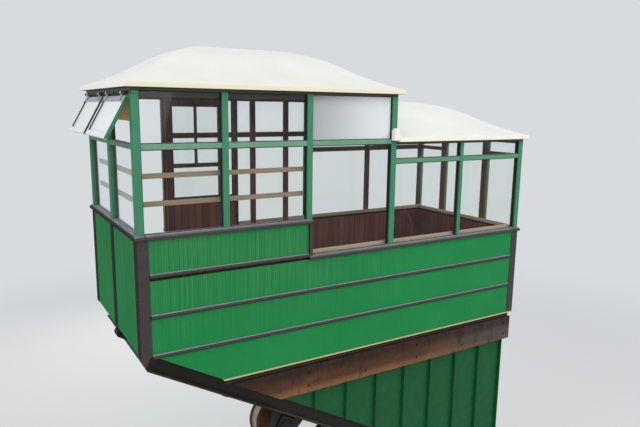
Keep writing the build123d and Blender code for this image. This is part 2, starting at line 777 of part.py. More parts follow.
def awning_frame(side):
    frame = side_block(side, *SASH_X, *SASH_Y, SASH_BOTTOM, SASH_TOP)
    frame -= side_block(side, SASH_X[0] - PAST, SASH_X[1] + PAST, *SASH_LIGHT_Y, *SASH_LIGHT_Z)
    for place in (SASH_Y[0] + KNUCKLE_INSET, SASH_Y[1] - KNUCKLE_INSET):
        barrel_y = (place - KNUCKLE_LENGTH / 2, place + KNUCKLE_LENGTH / 2)
        barrel = Cylinder(KNUCKLE_RADIUS, KNUCKLE_LENGTH, rotation=(90, 0, 0))
        barrel = Pos(HINGE_X, side * place, HINGE_Z) * barrel
        strap_x = (SASH_X[0] - HINGE_STRAP, SASH_X[0])
        strap = side_block(side, *strap_x, *barrel_y, SASH_TOP - HINGE_STRAP_LAP, HINGE_Z)
        bore_length = KNUCKLE_LENGTH + 2 * PAST
        bore = Cylinder(HINGE_ROD_RADIUS + RUNNING_FIT, bore_length, rotation=(90, 0, 0))
        frame += barrel + strap
        frame -= Pos(HINGE_X, side * place, HINGE_Z) * bore
    return [opened(frame)]


def awning_glass(side):
    middle = sum(SASH_X) / 2
    pane = side_block(side, middle - GLASS / 2, middle + GLASS / 2, *SASH_LIGHT_Y, *SASH_LIGHT_Z)
    return [opened(pane)]


def awning_rods():
    """A hinge rod above each sash, held to the header by three lugs."""
    y0, y1 = SASH_Y
    rod = Cylinder(HINGE_ROD_RADIUS, y1 - y0 - HINGE_LUG, rotation=(90, 0, 0))
    rod = Pos(HINGE_X, -(y0 + y1) / 2, HINGE_Z) * rod
    reach = HINGE_ROD_RADIUS + HINGE_LUG_WALL
    for place in spaced(y0 + HINGE_LUG / 2, y1 - HINGE_LUG / 2, 3):
        lug_y = (place - HINGE_LUG / 2, place + HINGE_LUG / 2)
        rod += side_block(NEAR, HINGE_X - reach, 0, *lug_y, HINGE_Z - reach, HINGE_Z + reach)
    return mirrored([rod])


def vent_boards():
    """Boards that close the upper part of the two openings behind the sashes."""
    x = (VENT_BOARD_INSET, VENT_BOARD_INSET + VENT_BOARD)
    return mirrored([side_block(NEAR, *x, *UPHILL_BAY, HEADER_UPPER - VENT_BOARD_DEPTH, HEADER_UPPER)])


# Sliding door


DOOR_X0 = POST_ONE_X - DOOR_OPEN_LAP
DOOR_X = (DOOR_X0, DOOR_X0 + DOOR_WIDTH)
DOOR_TRAVEL = DOOR_X0 - WALL - DOOR_CLOSED_GAP
DOOR_Z = (UPPER_FLOOR + DOOR_CLEARANCE, UPPER_EAVE - CEILING - DOOR_HEAD_GAP)
DOOR_LIGHT_X = (DOOR_X[0] + DOOR_STILE, DOOR_X[1] - DOOR_STILE)
DOOR_PANEL_Z = (DOOR_Z[0] + DOOR_STILE, UPPER_SILL - MID_RAIL / 2)
DOOR_LOCK_RAIL = UPPER_SILL + DOOR_LOCK_RAIL_ABOVE_SILL


def door_lights():
    """Openings of the door: x0, x1, z0, z1."""
    x0, x1 = DOOR_LIGHT_X
    muntin = ((x0 + x1 - DOOR_MUNTIN) / 2, (x0 + x1 + DOOR_MUNTIN) / 2)
    rows = (
        (UPPER_MID_RAIL + MID_RAIL / 2, DOOR_Z[1] - DOOR_STILE),
        (DOOR_LOCK_RAIL + MID_RAIL / 2, UPPER_MID_RAIL - MID_RAIL / 2),
    )
    lights = []
    for z0, z1 in rows:
        lights += [(x0, muntin[0], z0, z1), (muntin[1], x1, z0, z1)]
    lights.append((x0, x1, UPPER_SILL + MID_RAIL / 2, DOOR_LOCK_RAIL - MID_RAIL / 2))
    return lights


def door_frame():
    """Stiles and rails of the door, with a pull handle on the inner face of the closing stile."""
    y = (DOOR_INNER_Y, DOOR_OUTER_Y)
    frame = block(*DOOR_X, *y, *DOOR_Z)
    for x0, x1, z0, z1 in (*door_lights(), (*DOOR_LIGHT_X, *DOOR_PANEL_Z)):
        frame -= block(x0, x1, y[0] - PAST, y[1] + PAST, z0, z1)
    middle = DOOR_X[0] + DOOR_STILE / 2
    x = (middle - DOOR_HANDLE_BAR / 2, middle + DOOR_HANDLE_BAR / 2)
    z = (UPPER_SILL, UPPER_SILL + DOOR_HANDLE_LENGTH)
    grip = block(*x, y[0] - DOOR_HANDLE_REACH, y[0], *z)
    hollow_y = (y[0] - DOOR_HANDLE_REACH + DOOR_HANDLE_BAR, y[0])
    grip -= block(*x, *hollow_y, z[0] + DOOR_HANDLE_BAR, z[1] - DOOR_HANDLE_BAR)
    return [frame + grip]


def door_panel():
    y = (DOOR_INNER_Y + DOOR_PANEL_INSET, DOOR_OUTER_Y - DOOR_PANEL_INSET)
    return [block(*DOOR_LIGHT_X, *y, *DOOR_PANEL_Z)]


def door_glass():
    middle = (DOOR_INNER_Y + DOOR_OUTER_Y) / 2
    y = (middle - GLASS / 2, middle + GLASS / 2)
    return [block(x0, x1, *y, z0, z1) for x0, x1, z0, z1 in door_lights()]


def door_track():
    """The bar over the doorway that the door hangs from."""
    z = (UPPER_EAVE - CEILING - TRACK_HEIGHT, UPPER_EAVE - CEILING)
    start = DOOR_X[0] - DOOR_TRAVEL - DOOR_CLOSED_GAP
    return [block(start, DOOR_X[1], DOOR_INNER_Y, INNER, *z)]


def door_hangers():
    z = (DOOR_Z[1], UPPER_EAVE - CEILING - TRACK_HEIGHT - TRACK_GAP)
    y = (DOOR_INNER_Y + DOOR_PANEL_INSET, DOOR_OUTER_Y - DOOR_PANEL_INSET)
    pieces = []
    for x in (DOOR_X[0] + HANGER_INSET, DOOR_X[1] - HANGER_INSET):
        pieces.append(block(x - HANGER_WIDTH / 2, x + HANGER_WIDTH / 2, *y, *z))
    return pieces


# Underframe, in the body's frame


def sole_beams():
    outer = HALF - SOLE_INSET
    outline = (
        (rail_line_x(SOLE_TOP, GIRDER_TOP), SOLE_TOP),
        (LENGTH, SOLE_TOP),
        (LENGTH, SOLE_BOTTOM),
        (rail_line_x(SOLE_BOTTOM, GIRDER_TOP), SOLE_BOTTOM),
    )
    return mirrored([upright(outline, -outer, -outer + SOLE_WIDTH)])


def floor_joists():
    """Beams across the sole beams, under the lower floor."""
    y = (-HALF + JOIST_SIDE_GAP, HALF - JOIST_SIDE_GAP)
    first = rail_line_x(SOLE_TOP, GIRDER_TOP) + JOIST
    pieces = []
    for x in spaced(first, LENGTH - WALL - JOIST, JOISTS):
        pieces.append(block(x, x + JOIST, *y, SOLE_TOP, 0))
    return pieces


def frame_plates():
    """The triangular plates between the sole beams and the sloping girders."""
    y0 = GIRDER_Y + GIRDER_WIDTH - FRAME_PLATE
    end = LENGTH - FRAME_SETBACK
    outline = (
        (rail_line_x(SOLE_BOTTOM, GIRDER_TOP), SOLE_BOTTOM),
        (end, SOLE_BOTTOM),
        (end, rail_line(end, GIRDER_TOP)),
    )
    return mirrored([upright(outline, -y0 - FRAME_PLATE, -y0)])


def frame_ribs():
    """Upright ribs on the outside of the triangular plates, from the sole beam to the girder."""
    outer = GIRDER_Y + GIRDER_WIDTH
    start = rail_line_x(SOLE_BOTTOM, GIRDER_TOP)
    x = LENGTH - FRAME_SETBACK - RIB_WIDTH
    ribs = []
    while x > start + RIB_PITCH / 2:
        outline = (
            (x, SOLE_BOTTOM),
            (x + RIB_WIDTH, SOLE_BOTTOM),
            (x + RIB_WIDTH, rail_line(x + RIB_WIDTH, GIRDER_TOP)),
            (x, rail_line(x, GIRDER_TOP)),
        )
        ribs.append(upright(outline, -outer - RIB_DEPTH, -outer))
        x -= RIB_PITCH
    return mirrored(ribs)


def water_tank():
    half = GIRDER_Y - TANK_SIDE_CLEARANCE
    outline = (
        (rail_line_x(SOLE_BOTTOM, TANK_OFFSET), SOLE_BOTTOM),
        (TANK_END, SOLE_BOTTOM),
        (TANK_END, rail_line(TANK_END, TANK_OFFSET)),
    )
    return [upright(outline, -half, half)]


# Running gear, level in a frame that lies on the rails


def inclined(solids):
    return [TO_INCLINE * solid for solid in solids]


def girder_webs():
    """Upright plates of the two channel girders, whose open side is outward."""
    y = (GIRDER_Y, GIRDER_Y + GIRDER_WEB)
    web = side_block(NEAR, GIRDER_START, GIRDER_END, *y, GIRDER_BOTTOM, GIRDER_TOP)
    return inclined(mirrored([web]))


def girder_flanges():
    """Flat plates along the head and the foot of the girder webs."""
    y = (GIRDER_Y + GIRDER_WEB, GIRDER_Y + GIRDER_WIDTH)
    flanges = []
    for z0 in (GIRDER_BOTTOM, GIRDER_TOP - GIRDER_WEB):
        flanges.append(side_block(NEAR, GIRDER_START, GIRDER_END, *y, z0, z0 + GIRDER_WEB))
    return inclined(mirrored(flanges))


JOURNAL_END = GIRDER_Y + AXLE_BOX_PROJECTION - JOURNAL_END_WALL - JOURNAL_END_GAP


def wheelset(place):
    """An axle with two flanged wheels, recessed on their outer faces, and a journal at each end."""
    tread = GAUGE / 2
    back = tread - FLANGE_WIDTH
    front = tread + TREAD_WIDTH
    rim = WHEEL_RADIUS - RIM_DEPTH
    half = (
        (0, 0),
        (0, AXLE_RADIUS),
        (back, AXLE_RADIUS),
        (back, WHEEL_RADIUS + FLANGE_HEIGHT),
        (tread, WHEEL_RADIUS),
        (front, WHEEL_RADIUS),
        (front, rim),
        (front - WEB_RECESS, rim),
        (front - WEB_RECESS, JOURNAL_RADIUS),
        (JOURNAL_END, JOURNAL_RADIUS),
        (JOURNAL_END, 0),
    )
    profile = Plane.XY * make_face(Polyline(*[(radius, y) for y, radius in half], close=True))
    turned = revolve(profile, Axis.Y)
    whole = turned + turned.mirror(Plane.XZ)
    return inclined([Pos(place, 0, WHEEL_RADIUS) * whole])


def axle_boxes():
    """Square boxes outside the wheels, each with a blind bore for the journal and a cover."""
    inner = GAUGE / 2 + TREAD_WIDTH + AXLE_BOX_WHEEL_GAP
    outer = GIRDER_Y + AXLE_BOX_PROJECTION
    depth = JOURNAL_END + JOURNAL_END_GAP - inner
    box_z = (WHEEL_RADIUS - AXLE_BOX / 2, WHEEL_RADIUS + AXLE_BOX / 2)
    cover_z = (WHEEL_RADIUS - AXLE_BOX_COVER / 2, WHEEL_RADIUS + AXLE_BOX_COVER / 2)
    pieces = []
    for place in (-AXLE_X, AXLE_X):
        x = (place - AXLE_BOX / 2, place + AXLE_BOX / 2)
        cover_x = (place - AXLE_BOX_COVER / 2, place + AXLE_BOX_COVER / 2)
        box = side_block(NEAR, *x, inner, outer, *box_z)
        box += side_block(NEAR, *cover_x, outer, outer + AXLE_BOX_COVER_THICKNESS, *cover_z)
        bore = Cylinder(JOURNAL_RADIUS + RUNNING_FIT, depth, rotation=(90, 0, 0))
        pieces += mirrored([box - Pos(place, -inner - depth / 2, WHEEL_RADIUS) * bore])
    return inclined(pieces)


def pedestals():
    """Horn plates under the girders that hold the axle boxes from above and on both sides."""
    half = AXLE_BOX / 2
    foot = WHEEL_RADIUS - half - PEDESTAL_KEEPER
    spread = half + PEDESTAL_LEG + PEDESTAL_SPREAD
    y = (-GIRDER_Y - GIRDER_WEB, -GIRDER_Y)
    pieces = []
    for place in (-AXLE_X, AXLE_X):
        outline = (
            (place - spread, GIRDER_BOTTOM),
            (place + spread, GIRDER_BOTTOM),
            (place + half + PEDESTAL_LEG, foot),
            (place - half - PEDESTAL_LEG, foot),
        )
        slot = (place - half, place + half, *y, WHEEL_RADIUS - half, WHEEL_RADIUS + half)
        pieces += mirrored([upright(outline, *y) - block(*slot)])
    return inclined(pieces)


def cross_members():
    """Beams between the girders: one at each end and one inside each axle."""
    inside = AXLE_X - AXLE_TO_CROSS_MEMBER
    ends = (GIRDER_START + CROSS_MEMBER / 2, GIRDER_END - CROSS_MEMBER / 2)
    pieces = []
    for place in (ends[0], -inside, inside, ends[1]):
        x = (place - CROSS_MEMBER / 2, place + CROSS_MEMBER / 2)
        z = (GIRDER_BOTTOM, GIRDER_TOP - CROSS_MEMBER_DROP)
        pieces.append(block(*x, -GIRDER_Y, GIRDER_Y, *z))
    return inclined(pieces)


def tank_bearers():
    """Beams across the girders that carry the tank's sloping bottom."""
    end = GIRDER_Y + GIRDER_WIDTH - FRAME_PLATE
    last = along_rails(OUTLET_X, TANK_OFFSET) - BEARER_TO_OUTLET
    pieces = []
    for place in spaced(-AXLE_X / 2, last, 3):
        x = (place - CROSS_MEMBER / 2, place + CROSS_MEMBER / 2)
        pieces.append(block(*x, -end, end, GIRDER_TOP, TANK_OFFSET))
    return inclined(pieces)


def brake_shoes():
    """Slipper shoes over the rails, on hangers that taper up to the two inner cross members."""
    inside = AXLE_X - AXLE_TO_CROSS_MEMBER
    middle = (GAUGE + BRAKE_SHOE_WIDTH) / 2
    y = (-middle - BRAKE_SHOE_WIDTH / 2, -middle + BRAKE_SHOE_WIDTH / 2)
    top = BRAKE_RAIL_GAP + BRAKE_SHOE_DEPTH
    pieces = []
    for place in (-inside, inside):
        x = (place - BRAKE_SHOE_LENGTH / 2, place + BRAKE_SHOE_LENGTH / 2)
        outline = (
            (x[0], top),
            (place - BRAKE_HANGER / 2, GIRDER_BOTTOM),
            (place + BRAKE_HANGER / 2, GIRDER_BOTTOM),
            (x[1], top),
            (x[1], top - BRAKE_SHOE_DEPTH / 2),
            (x[1] - BRAKE_SHOE_DEPTH, BRAKE_RAIL_GAP),
            (x[0] + BRAKE_SHOE_DEPTH, BRAKE_RAIL_GAP),
            (x[0], top - BRAKE_SHOE_DEPTH / 2),
        )
        pieces += mirrored([upright(outline, *y)])
    return inclined(pieces)


def rope_anchor():
    """A clevis on the uphill cross member, for the pin of the hauling rope's socket."""
    middle = (GIRDER_TOP - CROSS_MEMBER_DROP + GIRDER_BOTTOM) / 2
    eye = (GIRDER_START - CLEVIS_REACH, middle)
    half = CLEVIS_GAP / 2 + CLEVIS_CHEEK
    cheek = Pos(eye[0], 0, eye[1]) * Cylinder(CLEVIS_RADIUS, 2 * half, rotation=(90, 0, 0))
    cheek += block(eye[0], GIRDER_START, -half, half, middle - CLEVIS_RADIUS, middle + CLEVIS_RADIUS)
    gap = block(
        eye[0] - CLEVIS_RADIUS - PAST,
        GIRDER_START - CLEVIS_ROOT,
        -CLEVIS_GAP / 2,
        CLEVIS_GAP / 2,
        middle - CLEVIS_RADIUS - PAST,
        middle + CLEVIS_RADIUS + PAST,
    )
    bore = Cylinder(CLEVIS_BORE, 2 * half + 2 * PAST, rotation=(90, 0, 0))
    return inclined([cheek - gap - Pos(eye[0], 0, eye[1]) * bore])


def tank_outlet():
    """The discharge stub under the tank's deep end, open at its foot."""
    foot = rail_line(OUTLET_X, TANK_OFFSET) - OUTLET_DROP
    outline = (
        (OUTLET_X - OUTLET_RADIUS, foot),
        (OUTLET_X + OUTLET_RADIUS, foot),
        (OUTLET_X + OUTLET_RADIUS, rail_line(OUTLET_X + OUTLET_RADIUS, TANK_OFFSET)),
        (OUTLET_X - OUTLET_RADIUS, rail_line(OUTLET_X - OUTLET_RADIUS, TANK_OFFSET)),
    )
    prism = upright(outline, -OUTLET_RADIUS, OUTLET_RADIUS)
    height = OUTLET_DROP + OUTLET_RADIUS
    round_bar = Pos(OUTLET_X, 0, foot + height / 2) * Cylinder(OUTLET_RADIUS, height)
    flange = Pos(OUTLET_X, 0, foot + OUTLET_FLANGE / 2)
    flange *= Cylinder(OUTLET_RADIUS + OUTLET_FLANGE_RIM, OUTLET_FLANGE)
    bore = Pos(OUTLET_X, 0, foot + OUTLET_BORE_DEPTH / 2) * Cylinder(OUTLET_BORE, OUTLET_BORE_DEPTH)
    return [(prism & round_bar) + flange - bore]


NODES = {
    "side_panels_upper": side_panels_upper(),
    "side_panels_middle": side_panels_middle(),
    "side_panels_lower": side_panels_lower(),
    "end_panels": end_panels(),
    "sloping_soffit": sloping_soffit(),
    "lower_edge_strips": lower_edge_strips(),
    "corner_plates_side": corner_plates_side(),
    "corner_plates_end": corner_plates_end(),
    "rub_rails": rub_rails(),
    "side_sills": side_sills(),
    "end_sills": end_sills(),
    "posts": posts(),
    "mid_rails": mid_rails(),
    "cant_rails": cant_rails(),
    "end_headers": end_headers(),
    "roof_step_board": roof_step_board(),
    "window_glass": window_glass(),
    "sign_boards": sign_boards(),
    "roof_upper": roof_upper(),
    "roof_lower": roof_lower(),
    "ceilings": ceilings(),
    "floor_upper": floor_upper(),
    "floor_lower": floor_lower(),
    "steps": steps(),
    "dado_linings": dado_linings(),
    "guard_rails": guard_rails(),
    "sill_caps": sill_caps(),
    "inner_posts": inner_posts(),
    "bench_seats": bench_seats(),
    "bench_frames": bench_frames(),
    "bench_ends": bench_ends(),
    "awning_near_frame": awning_frame(NEAR),
    "awning_near_glass": awning_glass(NEAR),
    "awning_far_frame": awning_frame(FAR),
    "awning_far_glass": awning_glass(FAR),
    "awning_rods": awning_rods(),
    "vent_boards": vent_boards(),
    "door_frame": door_frame(),
    "door_panel": door_panel(),
    "door_glass": door_glass(),
    "door_hangers": door_hangers(),
    "door_track": door_track(),
    "sole_beams": sole_beams(),
    "floor_joists": floor_joists(),
    "frame_plates": frame_plates(),
    "frame_ribs": frame_ribs(),
    "water_tank": water_tank(),
    "girder_webs": girder_webs(),
    "girder_flanges": girder_flanges(),
    "cross_members": cross_members(),
    "tank_bearers": tank_bearers(),
    "brake_shoes": brake_shoes(),
    "rope_anchor": rope_anchor(),
    "tank_outlet": tank_outlet(),
    "upper_wheelset": wheelset(-AXLE_X),
    "lower_wheelset": wheelset(AXLE_X),
    "axle_boxes": axle_boxes(),
    "pedestals": pedestals(),
}

for name, solids in NODES.items():
    placed = [TO_RAILS * solid for solid in solids]
    shape = placed[0] if len(placed) == 1 else Compound(children=placed)
    export_step(shape, f"parts/{name}.step")
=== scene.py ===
# %% [markdown]
# # Dressing a cliff railway car
# The car is a stepped, glazed timber cabin that stands level on a triangular frame, because it
# climbs a steep slope. The solid model gives every main shape and where it sits. This lesson
# adds what painters, joiners and fitters would: paint, varnish and rust, eased edges, glazing
# beads, screws, rivets and small fittings.

# %% Load the solid model
import bpy
import json
from math import radians
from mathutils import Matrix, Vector

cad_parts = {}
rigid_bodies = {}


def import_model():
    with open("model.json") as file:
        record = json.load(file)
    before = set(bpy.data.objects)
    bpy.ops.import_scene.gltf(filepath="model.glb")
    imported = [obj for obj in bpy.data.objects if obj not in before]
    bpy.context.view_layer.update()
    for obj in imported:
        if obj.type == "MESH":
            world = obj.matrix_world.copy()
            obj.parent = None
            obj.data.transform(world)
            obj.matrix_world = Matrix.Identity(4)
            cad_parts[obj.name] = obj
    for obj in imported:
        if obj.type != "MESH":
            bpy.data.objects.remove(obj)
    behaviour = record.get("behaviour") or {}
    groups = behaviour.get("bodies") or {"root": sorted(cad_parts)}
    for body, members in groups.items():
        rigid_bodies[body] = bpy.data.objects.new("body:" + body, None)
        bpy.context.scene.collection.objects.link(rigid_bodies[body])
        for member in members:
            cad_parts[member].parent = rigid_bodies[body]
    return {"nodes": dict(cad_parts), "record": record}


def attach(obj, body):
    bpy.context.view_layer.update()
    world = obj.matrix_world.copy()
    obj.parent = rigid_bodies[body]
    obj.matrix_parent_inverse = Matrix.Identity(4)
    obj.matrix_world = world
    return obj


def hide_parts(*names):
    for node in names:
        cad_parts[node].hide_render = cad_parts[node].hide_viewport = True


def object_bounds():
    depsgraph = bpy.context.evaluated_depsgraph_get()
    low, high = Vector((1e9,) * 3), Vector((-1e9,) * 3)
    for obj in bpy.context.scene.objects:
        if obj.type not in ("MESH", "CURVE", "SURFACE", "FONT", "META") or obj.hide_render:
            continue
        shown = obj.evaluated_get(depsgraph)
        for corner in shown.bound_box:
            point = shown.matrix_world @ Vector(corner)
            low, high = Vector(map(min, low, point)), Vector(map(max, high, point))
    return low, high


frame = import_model()
cad_low, cad_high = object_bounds()
print("nodes", len(frame["nodes"]), "box", [round(v, 3) for v in (*cad_low, *cad_high)])

# %% [markdown]
# ## Shader maths
# A finish is a tree of nodes. Wiring each node by hand hides the idea behind it, so one small
# class wraps a socket and lets Python's own signs add the Math nodes. A second class makes the
# nodes of one tree, and a third one adds what every painted surface needs: the place on the
# piece, the way that a face looks, noise, mixing and bump. It also files its material under the
# finish's name. Colours are written as the eye names them, from 0 to 255, and are turned into
# the linear values that a shader works with.

# %% A socket that does sums
def both_ways(operation):
    """A sign's method, and its reflected form for when a plain number stands first."""
    def forward(self, other):
        return self.math(operation, self, other)

    def reflected(self, other):
        return self.math(operation, other, self)

    return forward, reflected


class Signal:
    def __init__(self, finish, socket):
        self.finish = finish
        self.socket = socket

    def math(self, operation, *values):
        node = self.finish.node("ShaderNodeMath", {"operation": operation}, dict(enumerate(values)))
        return Signal(self.finish, node.outputs[0])

    __add__, __radd__ = both_ways("ADD")
    __sub__, __rsub__ = both_ways("SUBTRACT")
    __mul__, __rmul__ = both_ways("MULTIPLY")
    __truediv__, __rtruediv__ = both_ways("DIVIDE")
    __mod__, __rmod__ = both_ways("FLOORED_MODULO")
    __pow__, __rpow__ = both_ways("POWER")
    __gt__, __lt__ = both_ways("GREATER_THAN")

    def __abs__(self):
        return self.math("ABSOLUTE", self)

    def floor(self):
        return self.math("FLOOR", self)

    def either(self, other):
        return self.math("MAXIMUM", self, other)

    def rise(self, low, high):
        """0 below low and 1 above high, with a smooth step between."""
        settings = {"interpolation_type": "SMOOTHSTEP"}
        sockets = {"Value": self, "From Min": low, "From Max": high}
        return self.finish.signal("ShaderNodeMapRange", "Result", settings, sockets)


# %% Colours as the eye names them
def linear(red, green, blue):
    """A colour as seen, 0 to 255, as the linear values of a shader."""
    values = [v / 255 for v in (red, green, blue)]
    bent = [v / 12.92 if v <= 0.04045 else ((v + 0.055) / 1.055) ** 2.4 for v in values]
    return (*bent, 1.0)


print("128 of 255 is", round(linear(128, 128, 128)[0], 3), "of the light")

# %% The nodes of one tree
class NodeTree:
    """Makes the nodes of one tree, a finish's or the world's."""
    def __init__(self, owner):
        owner.use_nodes = True
        self.tree = owner.node_tree
        self.tree.nodes.clear()

    def node(self, kind, settings=None, sockets=None):
        """One node: its settings first, then the values or links of its sockets."""
        node = self.tree.nodes.new(kind)
        for name, value in (settings or {}).items():
            setattr(node, name, value)
        for name, value in (sockets or {}).items():
            if isinstance(value, Signal):
                self.tree.links.new(value.socket, node.inputs[name])
            else:
                node.inputs[name].default_value = value
        return node

    def signal(self, kind, output, settings=None, sockets=None):
        return Signal(self, self.node(kind, settings, sockets).outputs[output])

    def parts(self, vector):
        """The X, Y and Z of a vector."""
        split = self.node("ShaderNodeSeparateXYZ", {}, {0: vector})
        return [Signal(self, socket) for socket in split.outputs]

    def blend(self, share, first, second):
        """Two shaders mixed: first where share is 0, second where it is 1."""
        return self.signal("ShaderNodeMixShader", 0, {}, {0: share, 1: first, 2: second})


# %% The nodes of a finish
finishes = {}


class Finish(NodeTree):
    """The tree of one material, with the place on the piece and the way that a face looks."""
    def __init__(self, name):
        finishes[name] = bpy.data.materials.new(name)
        super().__init__(finishes[name])
        self.place = self.signal("ShaderNodeTexCoord", "Object")
        self.x, self.y, self.z = self.parts(self.place)
        self.nx, self.ny, self.nz = self.parts(self.signal("ShaderNodeNewGeometry", "True Normal"))

    def stretched(self, stretch):
        """The place on the piece, drawn out by a factor along each axis."""
        settings = {"operation": "MULTIPLY"}
        return self.signal("ShaderNodeVectorMath", "Vector", settings, {0: self.place, 1: stretch})

    def noise(self, scale, detail, roughness=0.55, stretch=(1, 1, 1)):
        """Clouds of values round 0.5; scale is how many fit in a metre before the stretch."""
        sockets = {
            "Vector": self.stretched(stretch),
            "Scale": scale,
            "Detail": detail,
            "Roughness": roughness,
        }
        return self.signal("ShaderNodeTexNoise", "Fac", {}, sockets)

    def mix(self, factor, first, second):
        """first where factor is 0, second where it is 1."""
        settings = {"data_type": "RGBA", "clamp_factor": True}
        return self.signal("ShaderNodeMix", 2, settings, {0: factor, 6: first, 7: second})

    def bump(self, height, depth):
        """The normal of a surface raised by height times depth, in metres."""
        sockets = {"Height": height, "Distance": depth, "Strength": 1.0}
        return self.signal("ShaderNodeBump", "Normal", {}, sockets)

    def end(self, shader):
        self.node("ShaderNodeOutputMaterial", {}, {"Surface": shader})

    def surface(self, sockets, gloss=0.18):
        """Ends the tree in one Principled shader; gloss is how much a bare face mirrors."""
        sockets["Specular IOR Level"] = gloss
        self.end(self.signal("ShaderNodeBsdfPrincipled", "BSDF", {}, sockets))


print("shader maths ready")

# %% [markdown]
# ## Green gloss paint on the boards
# The lower body is close-boarded and painted a bright green gloss. Brush and weather have left
# fine upright lines in it, pale and dark: strong in the top rows near the uphill end and almost
# gone lower down. The lines could be cut as grooves in the mesh, but at this spacing a bump
# follows them better and costs no faces. The pattern runs along X on the sides and along Y on
# the ends, so it picks its direction from the face's normal. The ends are duller, and the uphill
# one is darkened a little with painted shade.

# %% Finish: side boards
BOARD_PITCH = 0.045
GROOVE = 0.003
LOOKS_THAT_WAY = 0.7


def on_end(finish):
    """1 on the faces of both ends."""
    return abs(finish.nx) > LOOKS_THAT_WAY


def looks_uphill(finish):
    return (finish.nx * -1) > LOOKS_THAT_WAY


def across_boards(finish):
    """The coordinate that runs along the wall: X on the sides, Y on the ends."""
    end = on_end(finish)
    return finish.x * (1 - end) + finish.y * end


def grooves(along, pitch, width):
    """1 on a board and 0 in the groove at its edge."""
    return (abs(along % pitch - pitch / 2)).rise(pitch / 2 - width, pitch / 2) * -1 + 1


def board_green():
    finish = Finish("panel_green")
    along = across_boards(finish)
    flat = grooves(along, BOARD_PITCH, GROOVE)
    coarse = finish.noise(1.0, 4, 0.7, (38, 38, 0.5))
    fine = finish.noise(1.0, 3, 0.65, (120, 120, 0.9))
    clouds = finish.noise(1.3, 3)
    weather = finish.z.rise(1.9, 3.1) * (finish.x * -1).rise(-1.2, 1.6)
    weather = 0.08 + weather * 0.92
    pale = fine.rise(0.5, 0.66) * coarse.rise(0.38, 0.6) * weather
    dark = (1 - fine).rise(0.48, 0.62) * (1 - coarse).rise(0.36, 0.58) * weather
    deep = finish.mix(clouds, linear(20, 130, 66), linear(36, 146, 80))
    # Painted shade: faces that look uphill are darker.
    deep = finish.mix(looks_uphill(finish) * 0.2, deep, linear(20, 84, 48))
    colour = finish.mix(weather * clouds * 0.5, deep, linear(76, 128, 84))
    colour = finish.mix(pale * 0.34, colour, linear(112, 154, 118))
    colour = finish.mix(dark * 0.42, colour, linear(34, 84, 52))
    colour = finish.mix((1 - flat) * weather * 0.5, colour, linear(14, 74, 36))
    finish.surface({
        "Base Color": colour,
        "Roughness": 0.42 + pale * 0.25 + on_end(finish) * 0.5,
        "Normal": finish.bump(flat * 0.7 + fine * 0.2, 0.0012),
    }, 0.12)


board_green()
print("boards are", BOARD_PITCH, "m wide")

# %% [markdown]
# ## The window frames
# Outside, posts and rails are a lighter, bluer green. Inside they were left as brown varnished
# wood, and both faces belong to one piece. Instead of cutting each post in two, the finish reads
# where a point lies: within the line of the glass it is varnish, outside it is paint. Right under
# the eaves the paint turns dark, as painted shade of the eaves, above the lower edge of the rails
# there, which lies lower on the lower cabin. The rails across the windows, a little behind the
# posts, have faded more than these, and faces that look uphill are darker with painted shade.

# %% Finish: posts and rails
GLASS_LINE_Y = 0.94
GLASS_LINE_UPHILL = -2.765
GLASS_LINE_DOWNHILL = 2.055
STEP_FACE_X = 0.043
STEP_FACE_FOOT_Z = 4.1
UPHILL_FACE_X = -2.79
UPPER_CANT_Z = 4.5685
CANT_STEP = 0.508
HEADER_EXTRA = 0.034
UPPER_BAND_Z = (4.06, 4.12)
LOWER_BAND_Z = (3.842, 3.902)
POST_FACE_Y = 0.9725
POST_FACE_X = (-2.7975, 2.0875)


def behind_glass(finish):
    """1 inside the cabin's line of glass, 0 outside it."""
    within = abs(finish.y) < GLASS_LINE_Y
    within = within * (finish.x > GLASS_LINE_UPHILL)
    return within * (finish.x < GLASS_LINE_DOWNHILL)


def wood_grain(finish, stretch):
    """Grain drawn out along a piece: wide bands with fine lines in them."""
    bands = finish.noise(1.0, 3, 0.6, stretch)
    lines = finish.noise(4.0, 6, 0.7, stretch)
    return bands * 0.55 + lines * 0.45


